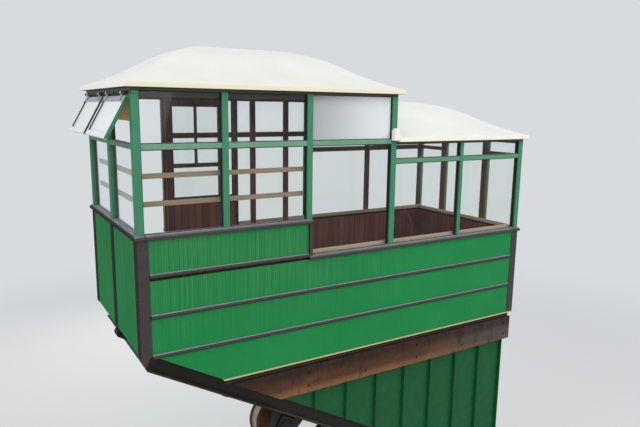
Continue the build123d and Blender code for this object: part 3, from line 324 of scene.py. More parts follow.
def frame_green():
    finish = Finish("frame_green")
    worn = finish.noise(7.0, 5, 0.65, (1, 1, 0.25))
    drips = finish.noise(1.0, 4, 0.6, (90, 90, 2.0))
    coat = finish.mix(worn, linear(50, 124, 88), linear(78, 146, 112))
    coat = finish.mix(drips.rise(0.6, 0.8) * 0.4, coat, linear(122, 168, 140))
    lower_cabin = finish.x > STEP_FACE_X
    upper_rail = (finish.z > UPPER_BAND_Z[0]) * (finish.z < UPPER_BAND_Z[1]) * (1 - lower_cabin)
    lower_rail = (finish.z > LOWER_BAND_Z[0]) * (finish.z < LOWER_BAND_Z[1]) * lower_cabin
    on_rail = (finish.x > POST_FACE_X[0]) * (finish.x < POST_FACE_X[1])
    on_rail = on_rail * (abs(finish.y) < POST_FACE_Y)
    faded = (upper_rail * 0.5 + lower_rail * 0.25) * (0.6 + worn * 0.6)
    coat = finish.mix(faded * on_rail, coat, linear(150, 184, 158))
    # Painted shade: faces that look uphill are darker.
    coat = finish.mix(looks_uphill(finish) * 0.4, coat, linear(24, 84, 56))
    grain = wood_grain(finish, (60, 60, 3))
    varnish = finish.mix(grain, linear(64, 36, 27), linear(134, 80, 54))
    varnish = finish.mix((1 - lower_cabin) * 0.45, varnish, linear(40, 32, 32))
    step_face = (abs(finish.x - STEP_FACE_X) < 0.01) * (finish.nx > 0.5)
    inside = behind_glass(finish) * (1 - step_face * (finish.z > STEP_FACE_FOOT_Z))
    # Painted shade of the eaves: the paint turns dark above this height.
    top = UPPER_CANT_Z - lower_cabin * CANT_STEP
    top = top - (finish.x < UPHILL_FACE_X) * HEADER_EXTRA
    coat = finish.mix((finish.z > top) * 0.9, coat, linear(74, 74, 64))
    finish.surface({
        "Base Color": finish.mix(inside, coat, varnish),
        "Roughness": 0.42 + inside * 0.06 + worn * 0.08,
        "Normal": finish.bump(worn * 0.6 + grain * inside, 0.0006),
    })


frame_green()
print("posts and rails turn to varnish inside", GLASS_LINE_Y, "m")

# %% [markdown]
# ## Black mouldings
# Sills, half-round mouldings and corner plates are black gloss gone grey on top, partly with dust
# that lies there and partly with a painted highlight. A face that looks up is found by the Z part
# of its normal. The corner plates are browner, and faces that look uphill are dull and darkened
# with painted shade. Dust, highlight and shade could be painted on by hand, but the normal of a
# face puts them where they fall by themselves.

# %% Finish: black mouldings
CORNER_PLATE_FACE_Y = 0.978


def black_trim():
    """Black gloss: browner on the side plates, dusty with a painted highlight on top, dull and
    darkened with painted shade uphill.
    """
    finish = Finish("black_trim")
    patches = finish.noise(9.0, 6, 0.65)
    specks = finish.noise(70.0, 3, 0.7)
    uphill = looks_uphill(finish)
    plate = (abs(finish.ny) > 0.9) * (abs(finish.y) > CORNER_PLATE_FACE_Y)
    lying = finish.nz.rise(0.5, 0.95) * (0.55 + patches * 0.6)
    colour = finish.mix(patches, linear(22, 20, 21), linear(46, 41, 41))
    colour = finish.mix(plate * 0.55, colour, linear(88, 82, 82))
    # The pale top is dust and a painted highlight on the gloss.
    colour = finish.mix(lying * 0.9, colour, linear(164, 166, 172))
    # Painted shade: faces that look uphill are darker.
    colour = finish.mix(uphill * 0.6, colour, linear(20, 20, 20))
    finish.surface({
        "Base Color": colour,
        "Roughness": 0.38 + lying * 0.3 + specks * 0.1 + uphill * 0.35,
        "Normal": finish.bump(patches * 0.7 + specks * 0.3, 0.0006),
    }, 0.14)


black_trim()
print("corner plates lie outside", CORNER_PLATE_FACE_Y, "m")

# %% [markdown]
# ## Plain paints
# The cream strips, the iron under the floor and the greens of the plates and the tank are each
# one paint, with dust on what looks up and a few worn specks. They differ only in their shades,
# their gloss and how dusty they are, so one function makes them all from a table.

# %% Finish: plain paints
def weathered_paint(name, dark, light, dust, dusty, rough):
    """Paint in two shades, with dust that lies on the faces that look up."""
    finish = Finish(name)
    patches = finish.noise(9.0, 6, 0.65)
    specks = finish.noise(70.0, 3, 0.7)
    lying = finish.nz.rise(0.25, 0.8) * (0.55 + patches * 0.6) * dusty
    worn = specks.rise(0.62, 0.75) * patches.rise(0.5, 0.7) * 0.5
    colour = finish.mix(patches, dark, light)
    colour = finish.mix(lying, colour, dust)
    colour = finish.mix(worn * dusty, colour, dust)
    finish.surface({
        "Base Color": colour,
        "Roughness": rough + lying * 0.3 + specks * 0.1,
        "Normal": finish.bump(patches * 0.7 + specks * 0.3, 0.0006),
    })


# Slot, dark and light shade, dust, how dusty, roughness
PLAIN_PAINTS = (
    ("cream_edge", (196, 182, 132), (218, 204, 158), (128, 112, 80), 0.35, 0.45),
    ("underframe_steel", (30, 31, 31), (52, 50, 46), (108, 88, 66), 0.9, 0.5),
    ("frame_plate_green", (15, 78, 42), (30, 104, 57), (60, 80, 56), 0.6, 0.42),
    ("tank_green", (12, 52, 34), (24, 74, 48), (60, 64, 48), 0.8, 0.45),
)
for slot, *shades, dusty, rough in PLAIN_PAINTS:
    weathered_paint(slot, *[linear(*shade) for shade in shades], dusty, rough)
print("plain paints", [row[0] for row in PLAIN_PAINTS])

# %% [markdown]
# ## The roof
# Both roofs are boarded, covered with canvas and painted white. The foot is a cream band, and
# the covering has a faint weave and long soft stains. Height gives the band, which has bleached
# on the uphill end. The underside of the eaves carries painted shade: dark, and greyer where the
# sky would reach it.

# %% Finish: painted canvas roof
UPPER_EAVE_Z = 4.594
LOWER_EAVE_Z = 4.086
FASCIA = 0.045


def roof_cream():
    finish = Finish("roof_cream")
    weave = finish.noise(160.0, 2)
    stains = finish.noise(2.2, 5, 0.6, (1, 1, 0.4))
    specks = finish.noise(24.0, 3, 0.75)
    colour = finish.mix(stains, linear(252, 252, 248), linear(234, 233, 225))
    colour = finish.mix(specks.rise(0.66, 0.78) * 0.3, colour, linear(172, 168, 150))
    upper = finish.z > UPPER_EAVE_Z - 0.01
    height = finish.z - LOWER_EAVE_Z - upper * (UPPER_EAVE_Z - LOWER_EAVE_Z)
    band = height < FASCIA + 0.002
    cream = finish.mix(upper, linear(250, 246, 230), linear(245, 234, 206))
    colour = finish.mix(band * 0.9, colour, cream)
    colour = finish.mix(band * looks_uphill(finish) * 0.75, colour, linear(252, 252, 248))
    # Painted shade under the eaves: dark under the uphill end, greyer elsewhere.
    below = (finish.nz * -1) > 0.5
    soffit_painted_shade = finish.mix(finish.x < UPHILL_FACE_X, linear(44, 42, 38), linear(96, 100, 104))
    colour = finish.mix(below, colour, soffit_painted_shade)
    finish.surface({
        "Base Color": colour,
        "Roughness": 0.5 + stains * 0.15,
        "Normal": finish.bump(weave * 0.4 + specks * 0.6, 0.0008),
    })


roof_cream()
print("roof band", FASCIA, "m deep")

# %% [markdown]
# ## Matchboard
# Linings, inner posts, benches and the door are brown varnished wood, most of it matchboard. It
# shows a groove at each board, which again is a bump, and no two boards are quite the same brown:
# the number of each board picks its tint. The linings of the upper cabin are darker.

# %% Finish: matchboard
MATCHBOARD_PITCH = 0.09
MATCHBOARD_GROOVE = 0.008
LINING_LIMIT_Y = 0.86


def matchboard():
    finish = Finish("brown_wood")
    along = across_boards(finish)
    flat = grooves(along, MATCHBOARD_PITCH, MATCHBOARD_GROOVE)
    number = (along / MATCHBOARD_PITCH).floor()
    one_each = {"noise_dimensions": "1D"}
    tint = finish.signal("ShaderNodeTexWhiteNoise", "Value", one_each, {"W": number})
    grain = wood_grain(finish, (45, 45, 2.5))
    colour = finish.mix(grain * 0.6 + tint * 0.4, linear(92, 44, 36), linear(158, 88, 66))
    colour = finish.mix((1 - flat) * 0.7, colour, linear(40, 20, 18))
    upper_cabin = (finish.x < STEP_FACE_X) * (finish.y < LINING_LIMIT_Y)
    colour = finish.mix(upper_cabin * 0.4, colour, linear(42, 28, 26))
    finish.surface({
        "Base Color": colour,
        "Roughness": 0.5 + grain * 0.1,
        "Normal": finish.bump(flat + grain * 0.1, 0.0012),
    })


matchboard()
print("matchboard is", MATCHBOARD_PITCH, "m wide")

# %% [markdown]
# ## Other timber
# The guard rails and caps are light varnished wood, the vent boards orange pine, the floor is
# grey and worn, and the boards overhead are dark. An image of wood would repeat itself; noise
# drawn out along the piece does not. The grain runs along each piece, so each wood has its own
# stretch. The caps of the lower cabin's sills are paler with painted light.

# %% Finish: rails, vents, floor and ceiling
def long_wood(name, dark, light, stretch, rough, painted_light_below):
    """Wood with its grain along the longest stretch, worn in patches, with painted light below a
    height.
    """
    finish = Finish(name)
    grain = wood_grain(finish, stretch)
    rubbed = finish.noise(5.0, 4)
    colour = finish.mix(grain, dark, light)
    colour = finish.mix(rubbed.rise(0.55, 0.8) * 0.35, colour, light)
    # Painted light: below the given height the wood is paler.
    colour = finish.mix((finish.z < painted_light_below) * 0.5, colour, linear(236, 204, 172))
    finish.surface({
        "Base Color": colour,
        "Roughness": rough + rubbed * 0.15,
        "Normal": finish.bump(grain, 0.0005),
    })


LOWER_CAPS_Z = 3.0
NEVER = -9.0
# Slot, dark and light shade, stretch of the grain, roughness, painted light below this height
WOODS = (
    ("light_wood", (130, 108, 90), (176, 152, 126), (3, 3, 70), 0.4, LOWER_CAPS_Z),
    ("vent_wood", (230, 160, 102), (250, 208, 152), (60, 2.5, 40), 0.4, NEVER),
    ("floor_boards", (70, 58, 48), (128, 112, 94), (2, 50, 50), 0.6, NEVER),
    ("ceiling_dark", (38, 33, 31), (62, 54, 50), (2, 50, 50), 0.5, NEVER),
)
for slot, dark, light, *rest in WOODS:
    long_wood(slot, linear(*dark), linear(*light), *rest)
print("woods", [row[0] for row in WOODS])

# %% [markdown]
# ## The stained beam
# The long beam under the cabin is timber: darker along the top, orange brown along the foot, with
# dark runs of water, and bleached grey downhill. Each stain is a mask between 0 and 1 that mixes
# its colour over those below it, as the stains themselves came one after another.

# %% Finish: the stained beam
BEAM_FOOT_Z = 1.405


def rusty_timber():
    finish = Finish("rusty_timber")
    grain = wood_grain(finish, (3, 40, 50))
    runs = finish.noise(1.0, 5, 0.65, (9, 9, 3.0))
    patches = finish.noise(2.6, 4, 0.6, (1, 1, 2))
    bleached = finish.x.rise(0.2, 1.6)
    brown = finish.mix(grain, linear(54, 37, 27), linear(100, 69, 50))
    grey = finish.mix(grain, linear(60, 53, 50), linear(104, 94, 88))
    colour = finish.mix(bleached, brown, grey)
    rust = patches.rise(0.42, 0.72) * (0.6 - bleached * 0.4)
    colour = finish.mix(rust, colour, linear(122, 76, 48))
    height = finish.z - BEAM_FOOT_Z
    foot = (height > 0) * (1 - height.rise(0.02, 0.12)) * (0.75 - bleached * 0.5)
    colour = finish.mix(foot * (0.5 + patches), colour, linear(146, 100, 66))
    top_darkening = height.rise(0.12, 0.27)
    colour = finish.mix(top_darkening * (0.3 + runs * 0.8), colour, linear(34, 27, 24))
    colour = finish.mix(runs.rise(0.5, 0.75) * 0.65, colour, linear(38, 29, 25))
    finish.surface({
        "Base Color": colour,
        "Roughness": 0.62 + grain * 0.2,
        "Normal": finish.bump(grain * 0.7 + runs * 0.3, 0.003),
    })


rusty_timber()
print("beam stained from", BEAM_FOOT_Z, "m up")

# %% [markdown]
# ## Iron and wheels
# Below the body the iron is oily, with rust in patches. A rusty place is rough and no longer
# shines like metal, so one mask drives colour, roughness and metal together. Wheels are rusty
# all over except on the tread, which is worn bright by rolling. The tread is found by its
# distance from the axle, which needs no face to be picked.

# %% Finish: iron
def dark_iron():
    finish = Finish("dark_steel")
    patches = finish.noise(11.0, 5, 0.6)
    grit = finish.noise(90.0, 3, 0.7)
    rust = patches.rise(0.55, 0.72)
    colour = finish.mix(patches, linear(32, 32, 34), linear(58, 56, 56))
    colour = finish.mix(rust * 0.6, colour, linear(98, 58, 36))
    finish.surface({
        "Base Color": colour,
        "Metallic": 0.7 - rust * 0.6,
        "Roughness": 0.42 + rust * 0.35,
        "Normal": finish.bump(grit * 0.5 + patches * 0.5, 0.001),
    })


dark_iron()
print("iron has rust in patches")

# %% Finish: wheels with bright treads
# Both axles' X and Z
UPPER_AXLE = (-1.255, 1.028)
LOWER_AXLE = (1.523, -0.559)
WHEEL_RADIUS = 0.27
TREAD_INNER_Y = 0.56


def wheel_iron():
    finish = Finish("wheel_steel")
    near_upper = finish.x < 0
    x0 = LOWER_AXLE[0] + near_upper * (UPPER_AXLE[0] - LOWER_AXLE[0])
    z0 = LOWER_AXLE[1] + near_upper * (UPPER_AXLE[1] - LOWER_AXLE[1])
    radius = ((finish.x - x0) ** 2 + (finish.z - z0) ** 2) ** 0.5
    tread = (abs(radius - WHEEL_RADIUS) < 0.004) * (abs(finish.y) > TREAD_INNER_Y)
    patches = finish.noise(8.0, 6, 0.65)
    grit = finish.noise(60.0, 3, 0.7)
    rust = finish.mix(patches, linear(58, 38, 28), linear(112, 68, 42))
    colour = finish.mix(tread, rust, linear(150, 148, 146))
    finish.surface({
        "Base Color": colour,
        "Metallic": 0.25 + tread * 0.7,
        "Roughness": 0.7 - tread * 0.42,
        "Normal": finish.bump((grit * 0.5 + patches * 0.5) * (1 - tread), 0.0015),
    })


wheel_iron()
print("treads are bright", WHEEL_RADIUS, "m from the axle")

# %% [markdown]
# ## Awning sashes
# The two awning sashes point at the sky. Their outer faces carry a painted reflection of the sky,
# almost white below, and painted shade at the top, grey, while their outer cheeks are green and
# the cheeks beside the panes are dark with painted shade. Inside they are varnished. Once more
# the place and the normal of a face pick its colour, so that each sash stays one piece.

# %% Finish: sashes
SASH_CHEEK_Y = 0.88
SASH_TOP_RAIL_Z = 4.46


def sash_paint():
    finish = Finish("sash_grey")
    worn = finish.noise(12.0, 5, 0.65)
    outward = (finish.nx * -1) > 0.4
    outer_cheek = abs(finish.y) > SASH_CHEEK_Y
    green = finish.mix(worn, linear(44, 118, 82), linear(64, 138, 100))
    shade = finish.mix(worn, linear(52, 60, 64), linear(74, 84, 88))
    pale = finish.mix(worn, linear(232, 238, 240), linear(246, 248, 248))
    grey = finish.mix(worn, linear(150, 160, 170), linear(176, 186, 194))
    varnish = finish.mix(worn, linear(150, 92, 48), linear(186, 124, 70))
    # shade is painted shade on the cheeks beside the panes.
    colour = finish.mix(outer_cheek, shade, green)
    # Outer faces: pale is a painted reflection of the sky, and grey at the top is painted shade.
    colour = finish.mix(outward, colour, finish.mix(finish.z > SASH_TOP_RAIL_Z, pale, grey))
    colour = finish.mix(finish.nx > 0.4, colour, varnish)
    finish.surface({
        "Base Color": colour,
        "Roughness": 0.4 + worn * 0.12,
        "Normal": finish.bump(worn, 0.0004),
    })


sash_paint()
print("sashes are grey above", SASH_TOP_RAIL_Z, "m")

# %% [markdown]
# ## Window glass
# Window glass is thin and flat and bends no light that one could see. A glass shader would cost
# time and darken the cabin, so each pane mixes a see-through shader with a mirror. The mirror's
# share grows steeply where a pane is seen at a slant, as on real glass. The awning panes lean
# back towards the bright sky and get a larger share, where the shine is white paint rather than
# metal: a painted reflection of the sky.

# %% Finish: clear panes
AWNING_PANES_X = -2.8


def clear_glass():
    finish = Finish("clear_glass")
    dust = finish.noise(3.0, 5, 0.6)
    slant = finish.signal("ShaderNodeLayerWeight", "Facing", {}, {"Blend": 0.5})
    to_the_sky = finish.x < AWNING_PANES_X
    # On the awning panes the shine is a painted reflection of the sky: white, not metal.
    mirror = slant ** 5 * 0.6 + 0.014 + to_the_sky * 0.93
    tint = (0.965, 0.98, 0.975, 1)
    see = finish.signal("ShaderNodeBsdfTransparent", "BSDF", {}, {"Color": tint})
    shine = finish.signal("ShaderNodeBsdfPrincipled", "BSDF", {}, {
        "Base Color": linear(248, 250, 251),
        "Metallic": 1 - to_the_sky,
        "Roughness": 0.04 + to_the_sky * 0.2,
    })
    share = mirror + dust.rise(0.45, 0.8) * 0.012
    finish.end(finish.blend(share, see, shine))


clear_glass()
print("panes uphill of", AWNING_PANES_X, "m mirror the sky")

# %% [markdown]
# ## White film
# The boards of the third bay are panes with a white film. The far one glows where it is seen
# from inside, so part of their light goes through: a translucent shader mixed with the paint.
# The film is on the outer face only, so the inner face is left clear, and on the near side it
# lets less light through towards the step, which makes it whiter there: a painted reflection,
# where the photo shows it whiter.

# %% Finish: white film
FILM_SHARE = 0.6
FILM_LINE_Y = 0.94
PAINTED_REFLECTION_X = (-1.1, -0.05)
FILM_GLOW = linear(242, 245, 247)


def frosted_board():
    """White film on a thin pane: daylight glows through it from behind."""
    finish = Finish("sign_white")
    clouds = finish.noise(1.6, 3)
    specks = finish.noise(60.0, 3, 0.7)
    colour = finish.mix(clouds, linear(236, 241, 245), linear(249, 251, 251))
    colour = finish.mix(specks.rise(0.66, 0.8) * 0.4, colour, linear(190, 192, 194))
    face = finish.signal("ShaderNodeBsdfPrincipled", "BSDF", {}, {
        "Base Color": colour,
        "Roughness": 0.35 + clouds * 0.1,
    })
    glow = finish.signal("ShaderNodeBsdfTranslucent", "BSDF", {}, {"Color": FILM_GLOW})
    # Painted reflection: the near film lets less light through towards the step and looks whiter.
    painted_reflection = (finish.y < 0) * finish.x.rise(*PAINTED_REFLECTION_X)
    film = finish.blend(FILM_SHARE - painted_reflection * 0.5, face, glow)
    clear = finish.signal("ShaderNodeBsdfTransparent", "BSDF", {}, {"Color": (0.98, 0.99, 1, 1)})
    bare = abs(finish.y) < FILM_LINE_Y
    finish.end(finish.blend(bare * 0.95, film, clear))


frosted_board()
print("finishes", len(finishes))

# %% [markdown]
# ## Painting the solid model
# The record names a material slot for every node, so the finishes go on by that table. Nothing
# of the solid model is moved: only the material in its slot changes.

# %% Put the finishes on the nodes
slot_of = {row["node"]: row["material_slot"] for row in frame["record"]["subparts"]}
bodies = frame["record"]["behaviour"]["bodies"]
body_of = {node: body for body, nodes in bodies.items() for node in nodes}


def paint(piece, slot):
    piece.data.materials.clear()
    piece.data.materials.append(finishes[slot])


for name, node in frame["nodes"].items():
    paint(node, slot_of[name])
print("painted", len(slot_of), "nodes with", len(finishes), "finishes")

# %% [markdown]
# ## Eased edges
# No joiner leaves an arris sharp, and a sharp edge catches no light. Each timber or plate is
# copied, its loose triangles are joined into whole faces, and its edges are rounded by a few
# millimetres with a bevel. The copy then stands for the node that it came from. Rounding every
# edge by hand would give the same faces; the modifier finds them by their angle. Smooth shading
# would bend the light on the wide faces too, so the normals are weighted by area afterwards.

# %% Helpers for a finished copy
SAME_POINT = 0.00001
SMOOTH_BELOW = radians(35)


def only(piece):
    """Selects one piece alone and makes it active."""
    bpy.ops.object.select_all(action="DESELECT")
    piece.select_set(True)
    bpy.context.view_layer.objects.active = piece


def settle(piece, body, slot):
    """Shades a finished piece, and gives it its finish and the body that it moves with."""
    only(piece)
    bpy.ops.object.shade_smooth_by_angle(angle=SMOOTH_BELOW)
    even = piece.modifiers.new("even", "WEIGHTED_NORMAL")
    even.keep_sharp = True
    bpy.ops.object.modifier_apply(modifier=even.name)
    paint(piece, slot)
    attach(piece, body)


def whole_copy(name):
    """A free copy of a node with its triangles joined into whole faces."""
    only(frame["nodes"][name])
    bpy.ops.object.duplicate()
    piece = bpy.context.active_object
    piece.name = name + "_eased"
    bpy.ops.object.parent_clear(type="CLEAR_KEEP_TRANSFORM")
    bpy.ops.object.mode_set(mode="EDIT")
    bpy.ops.mesh.select_all(action="SELECT")
    bpy.ops.mesh.remove_doubles(threshold=SAME_POINT)
    bpy.ops.mesh.dissolve_limited(angle_limit=radians(0.5))
    bpy.ops.object.mode_set(mode="OBJECT")
    return piece


def ease(piece, width, segments, sharper_than=SMOOTH_BELOW):
    """Rounds the edges of a piece that are sharper than an angle."""
    only(piece)
    bevel = piece.modifiers.new("ease", "BEVEL")
    bevel.width = width
    bevel.segments = segments
    bevel.limit_method = "ANGLE"
    bevel.angle_limit = sharper_than
    bpy.ops.object.modifier_apply(modifier=bevel.name)


print("edges under", round(SMOOTH_BELOW, 2), "radians are shaded smooth")

# %% Copies with eased edges
# Node, width of the rounding in metres, segments
EASED = (
    ("posts", 0.005, 2),
    ("mid_rails", 0.004, 2),
    ("cant_rails", 0.004, 2),
    ("end_headers", 0.004, 1),
    ("side_sills", 0.006, 3),
    ("end_sills", 0.006, 3),
    ("corner_plates_side", 0.002, 2),
    ("corner_plates_end", 0.002, 2),
    ("rub_rails", 0.002, 2),
    ("lower_edge_strips", 0.003, 2),
    ("guard_rails", 0.007, 3),
    ("sill_caps", 0.006, 3),
    ("vent_boards", 0.002, 1),
    ("inner_posts", 0.006, 2),
    ("bench_seats", 0.005, 2),
    ("bench_frames", 0.003, 1),
    ("bench_ends", 0.004, 2),
    ("awning_near_frame", 0.003, 2),
    ("awning_far_frame", 0.003, 2),
    ("door_frame", 0.004, 2),
    ("steps", 0.006, 2),
    ("sole_beams", 0.008, 2),
    ("floor_joists", 0.006, 1),
    ("cross_members", 0.004, 1),
    ("tank_bearers", 0.004, 1),
    ("frame_ribs", 0.002, 1),
    ("girder_flanges", 0.002, 1),
    ("axle_boxes", 0.006, 2),
    ("pedestals", 0.003, 1),
    ("brake_shoes", 0.005, 2),
    ("water_tank", 0.012, 3),
    ("upper_wheelset", 0.004, 2),
    ("lower_wheelset", 0.004, 2),
)
eased = {}
for name, width, segments in EASED:
    eased[name] = whole_copy(name)
    ease(eased[name], width, segments)
    settle(eased[name], body_of[name], slot_of[name])
    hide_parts(name)
print("eased", len(eased), "pieces,", sum(len(p.data.polygons) for p in eased.values()), "faces")

# %% [markdown]
# ## Roof covering
# The canvas is stretched over bent ribs, so each slope is one smooth curve, hollow at the foot
# and round at the crown, with soft hips. The solid already has that curve in many small strips.
# A merged copy with smooth shading hides the strips; only the fascia's corner stays an edge,
# eased a little as painted canvas is.

# %% Smooth roofs
FASCIA_EASE = 0.005
for name in ("roof_upper", "roof_lower"):
    roof = whole_copy(name)
    ease(roof, FASCIA_EASE, 2, radians(50))
    settle(roof, "car", "roof_cream")
    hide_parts(name)
    print(roof.name, len(roof.data.polygons), "faces")

# %% [markdown]
# ## Picking faces by place
# In the window one would click on a face; in a script its place is tested. One helper selects
# the faces, edges or points of the active mesh whose middle passes a test, which later cells use
# before they inset, extrude or bevel.

# %% Selecting in code
def pick(piece, kind, test):
    """Selects the faces, edges or points of a piece in edit mode whose middle passes a test."""
    bpy.ops.object.mode_set(mode="EDIT")
    bpy.ops.mesh.select_mode(type=kind)
    bpy.ops.mesh.select_all(action="DESELECT")
    bpy.ops.object.mode_set(mode="OBJECT")
    mesh = piece.data
    points = mesh.vertices
    if kind == "FACE":
        for face in mesh.polygons:
            face.select = test(face.center, face.normal)
    elif kind == "EDGE":
        for edge in mesh.edges:
            a, b = [points[i].co for i in edge.vertices]
            edge.select = test((a + b) / 2, (b - a).normalized())
    else:
        for point in points:
            point.select = test(point.co, point.normal)
    bpy.ops.object.mode_set(mode="EDIT")


print("faces can be picked")

# %% [markdown]
# ## Starting and finishing a piece
# Most fittings start as a block, have a face drawn out or pushed in, and are joined with their
# like into one object. Doubles are merged and faces turned outward only once, at the end. Both
# sides of the car have the same fittings, so a side is a sign, -1 near and 1 far, that a
# distance from the middle is multiplied by.

# %% Blocks, drawn faces and joined pieces
def start_block(name, low, high):
    """A box between two corners, placed in its mesh, as the start of a piece."""
    low, high = Vector(low), Vector(high)
    bpy.ops.object.select_all(action="DESELECT")
    bpy.ops.mesh.primitive_cube_add(size=1, location=(low + high) / 2, scale=high - low)
    piece = bpy.context.active_object
    piece.name = name
    bpy.ops.object.transform_apply(location=True, rotation=False, scale=True)
    return piece


def draw_out(piece, which, border, shift):
    """Insets the faces that pass a test and moves the inner ones, with walls behind them."""
    pick(piece, "FACE", which)
    bpy.ops.mesh.inset(thickness=border)
    bpy.ops.mesh.extrude_region_move(TRANSFORM_OT_translate={"value": shift})
    bpy.ops.object.mode_set(mode="OBJECT")


def joined(pieces, name):
    """Several pieces as one object."""
    bpy.ops.object.select_all(action="DESELECT")
    for piece in pieces:
        piece.select_set(True)
    bpy.context.view_layer.objects.active = pieces[0]
    bpy.ops.object.join()
    pieces[0].name = name
    return pieces[0]


def tidy_normals(piece):
    """Merges doubles and turns all faces outward."""
    only(piece)
    bpy.ops.object.mode_set(mode="EDIT")
    bpy.ops.mesh.select_all(action="SELECT")
    bpy.ops.mesh.remove_doubles(threshold=SAME_POINT)
    bpy.ops.mesh.normals_make_consistent(inside=False)
    bpy.ops.object.mode_set(mode="OBJECT")


def fitted(pieces, name, slot):
    """New pieces of the car as one finished object."""
    piece = joined(pieces, name)
    tidy_normals(piece)
    settle(piece, "car", slot)
    print(name, len(piece.data.polygons), "faces")


def span(side, inner, outer):
    """Low and high Y of a piece between two distances from the middle, on one side."""
    return sorted((side * inner, side * outer))


both_sides = (-1, 1)
print("sides", both_sides)

# %% [markdown]
# ## Heads of the upper windows
# Inside, a dark moulded board closes the top of each upper window, so that from outside a dark
# band shows under the eaves. A moulding could be swept as a curve; a box whose long lower edges
# are bevelled into rounds, with a shallow hollow pushed into its underside, is quicker.

# %% Window heads
CANT_BOTTOM_Z = 4.569
HEAD_BOTTOM_Z = 4.512
HEAD_Y = (0.9052, 0.9362)
SMALL_ROUND = 0.002
HOLLOW_BORDER = 0.006
HOLLOW_DEPTH = 0.004
BAYS_X = ((-2.73, -1.988), (-1.924, -1.087), (-1.023, -0.027), (0.043, 1.008), (1.058, 2.02))
UPPER_BAYS = BAYS_X[:3]


def window_head(x0, x1, side):
    y0, y1 = span(side, *HEAD_Y)
    piece = start_block("window_head", (x0, y0, HEAD_BOTTOM_Z), (x1, y1, CANT_BOTTOM_Z))
    draw_out(piece, lambda middle, normal: normal.z < -0.9, HOLLOW_BORDER, (0, 0, HOLLOW_DEPTH))
    pick(piece, "EDGE", lambda middle, line: abs(line.x) > 0.9 and middle.z < HEAD_BOTTOM_Z + 0.001)
    bpy.ops.mesh.bevel(offset=SMALL_ROUND, segments=2, affect="EDGES")
    bpy.ops.object.mode_set(mode="OBJECT")
    return piece


heads = [window_head(*bay, side) for bay in UPPER_BAYS for side in both_sides]
fitted(heads, "window_heads", "ceiling_dark")

# %% [markdown]
# ## Glazing beads
# Each pane is held by a thin black bead all round, mitred at the corners. A flat rectangle is
# inset by the bead's width, its middle is deleted, and the ring that is left is pulled out to the
# bead's depth. The front edge beside the pane is then rounded. The rings differ in size, so each
# is made from its own opening.

# %% Beads round the side panes
BEAD_WIDTH = 0.008
BEAD_DEPTH = 0.012
BEAD_ROUND = 0.006
PANE_FACE_Y = 0.9436
SIGN_FACE_Y = 0.9444
UPPER_SILL_Z = 3.32
LOWER_SILL_Z = 2.94
UPPER_RAIL_Z = (4.065, 4.115)
LOWER_RAIL_Z = (3.847, 3.897)
LOWER_CANT_BOTTOM_Z = 4.061


def ring(x0, x1, z0, z1, y, side):
    """A mitred bead round an opening of a side wall, with its back at y."""
    bpy.ops.object.select_all(action="DESELECT")
    bpy.ops.mesh.primitive_plane_add(
        size=1,
        location=((x0 + x1) / 2, side * y, (z0 + z1) / 2),
        rotation=(radians(90) * -side, 0, 0),
    )
    piece = bpy.context.active_object
    piece.scale = (x1 - x0, z1 - z0, 1)
    bpy.ops.object.transform_apply(location=True, rotation=True, scale=True)
    bpy.ops.object.mode_set(mode="EDIT")
    bpy.ops.mesh.select_mode(type="FACE")
    bpy.ops.mesh.select_all(action="SELECT")
    bpy.ops.mesh.inset(thickness=BEAD_WIDTH)
    bpy.ops.mesh.delete(type="FACE")
    bpy.ops.mesh.select_all(action="SELECT")
    outward = {"value": (0, side * BEAD_DEPTH, 0)}
    bpy.ops.mesh.extrude_region_move(TRANSFORM_OT_translate=outward)
    bpy.ops.object.mode_set(mode="OBJECT")
    limit = side * (y + BEAD_DEPTH / 2)
    low_x, high_x = x0 + BEAD_WIDTH / 2, x1 - BEAD_WIDTH / 2
    low_z, high_z = z0 + BEAD_WIDTH / 2, z1 - BEAD_WIDTH / 2

    def inner_front(middle, line):
        within = low_x < middle.x < high_x and low_z < middle.z < high_z
        return within and side * (middle.y - limit) > 0 and abs(line.y) < 0.5

    pick(piece, "EDGE", inner_front)
    bpy.ops.mesh.bevel(offset=BEAD_ROUND, segments=3, affect="EDGES")
    bpy.ops.object.mode_set(mode="OBJECT")
    return piece


# Sill, rail, top, and face of the upper pane, for each bay
BAY_HEIGHTS = (
    *[(UPPER_SILL_Z, UPPER_RAIL_Z, CANT_BOTTOM_Z, PANE_FACE_Y)] * 2,
    (LOWER_SILL_Z, UPPER_RAIL_Z, CANT_BOTTOM_Z, SIGN_FACE_Y),
    *[(LOWER_SILL_Z, LOWER_RAIL_Z, LOWER_CANT_BOTTOM_Z, PANE_FACE_Y)] * 2,
)
side_openings = []
for bay, (sill, rail, top, upper_face) in zip(BAYS_X, BAY_HEIGHTS):
    side_openings.append((*bay, sill, rail[0], PANE_FACE_Y))
    side_openings.append((*bay, rail[1], top, upper_face))
DOOR_OPENINGS = 2
beads = [ring(*opening, -1) for opening in side_openings]
beads += [ring(*opening, 1) for opening in side_openings[DOOR_OPENINGS:]]
print("beads round", len(beads), "openings")
fitted(beads, "glazing_beads", "black_trim")

# %% [markdown]
# ## Caps at the foot of the step
# Where the lower roof meets the taller cabin, a small rounded lead cap, painted white, covers
# the joint on each side. It is a box whose top is drawn in and up, with its edges rounded wide.

# %% Roof corner caps
CAP_X = (-0.034, 0.041)
CAP_Y = (0.9762, 1.033)
CAP_Z = (4.1, 4.214)
CAP_BORDER = 0.008
CAP_CROWN = 0.018
CAP_ROUND = 0.011


def corner_cap(side):
    low, high = zip(CAP_X, span(side, *CAP_Y), CAP_Z)
    piece = start_block("corner_cap", low, high)
    draw_out(piece, lambda middle, normal: normal.z > 0.9, CAP_BORDER, (0, 0, CAP_CROWN))
    ease(piece, CAP_ROUND, 4)
    return piece


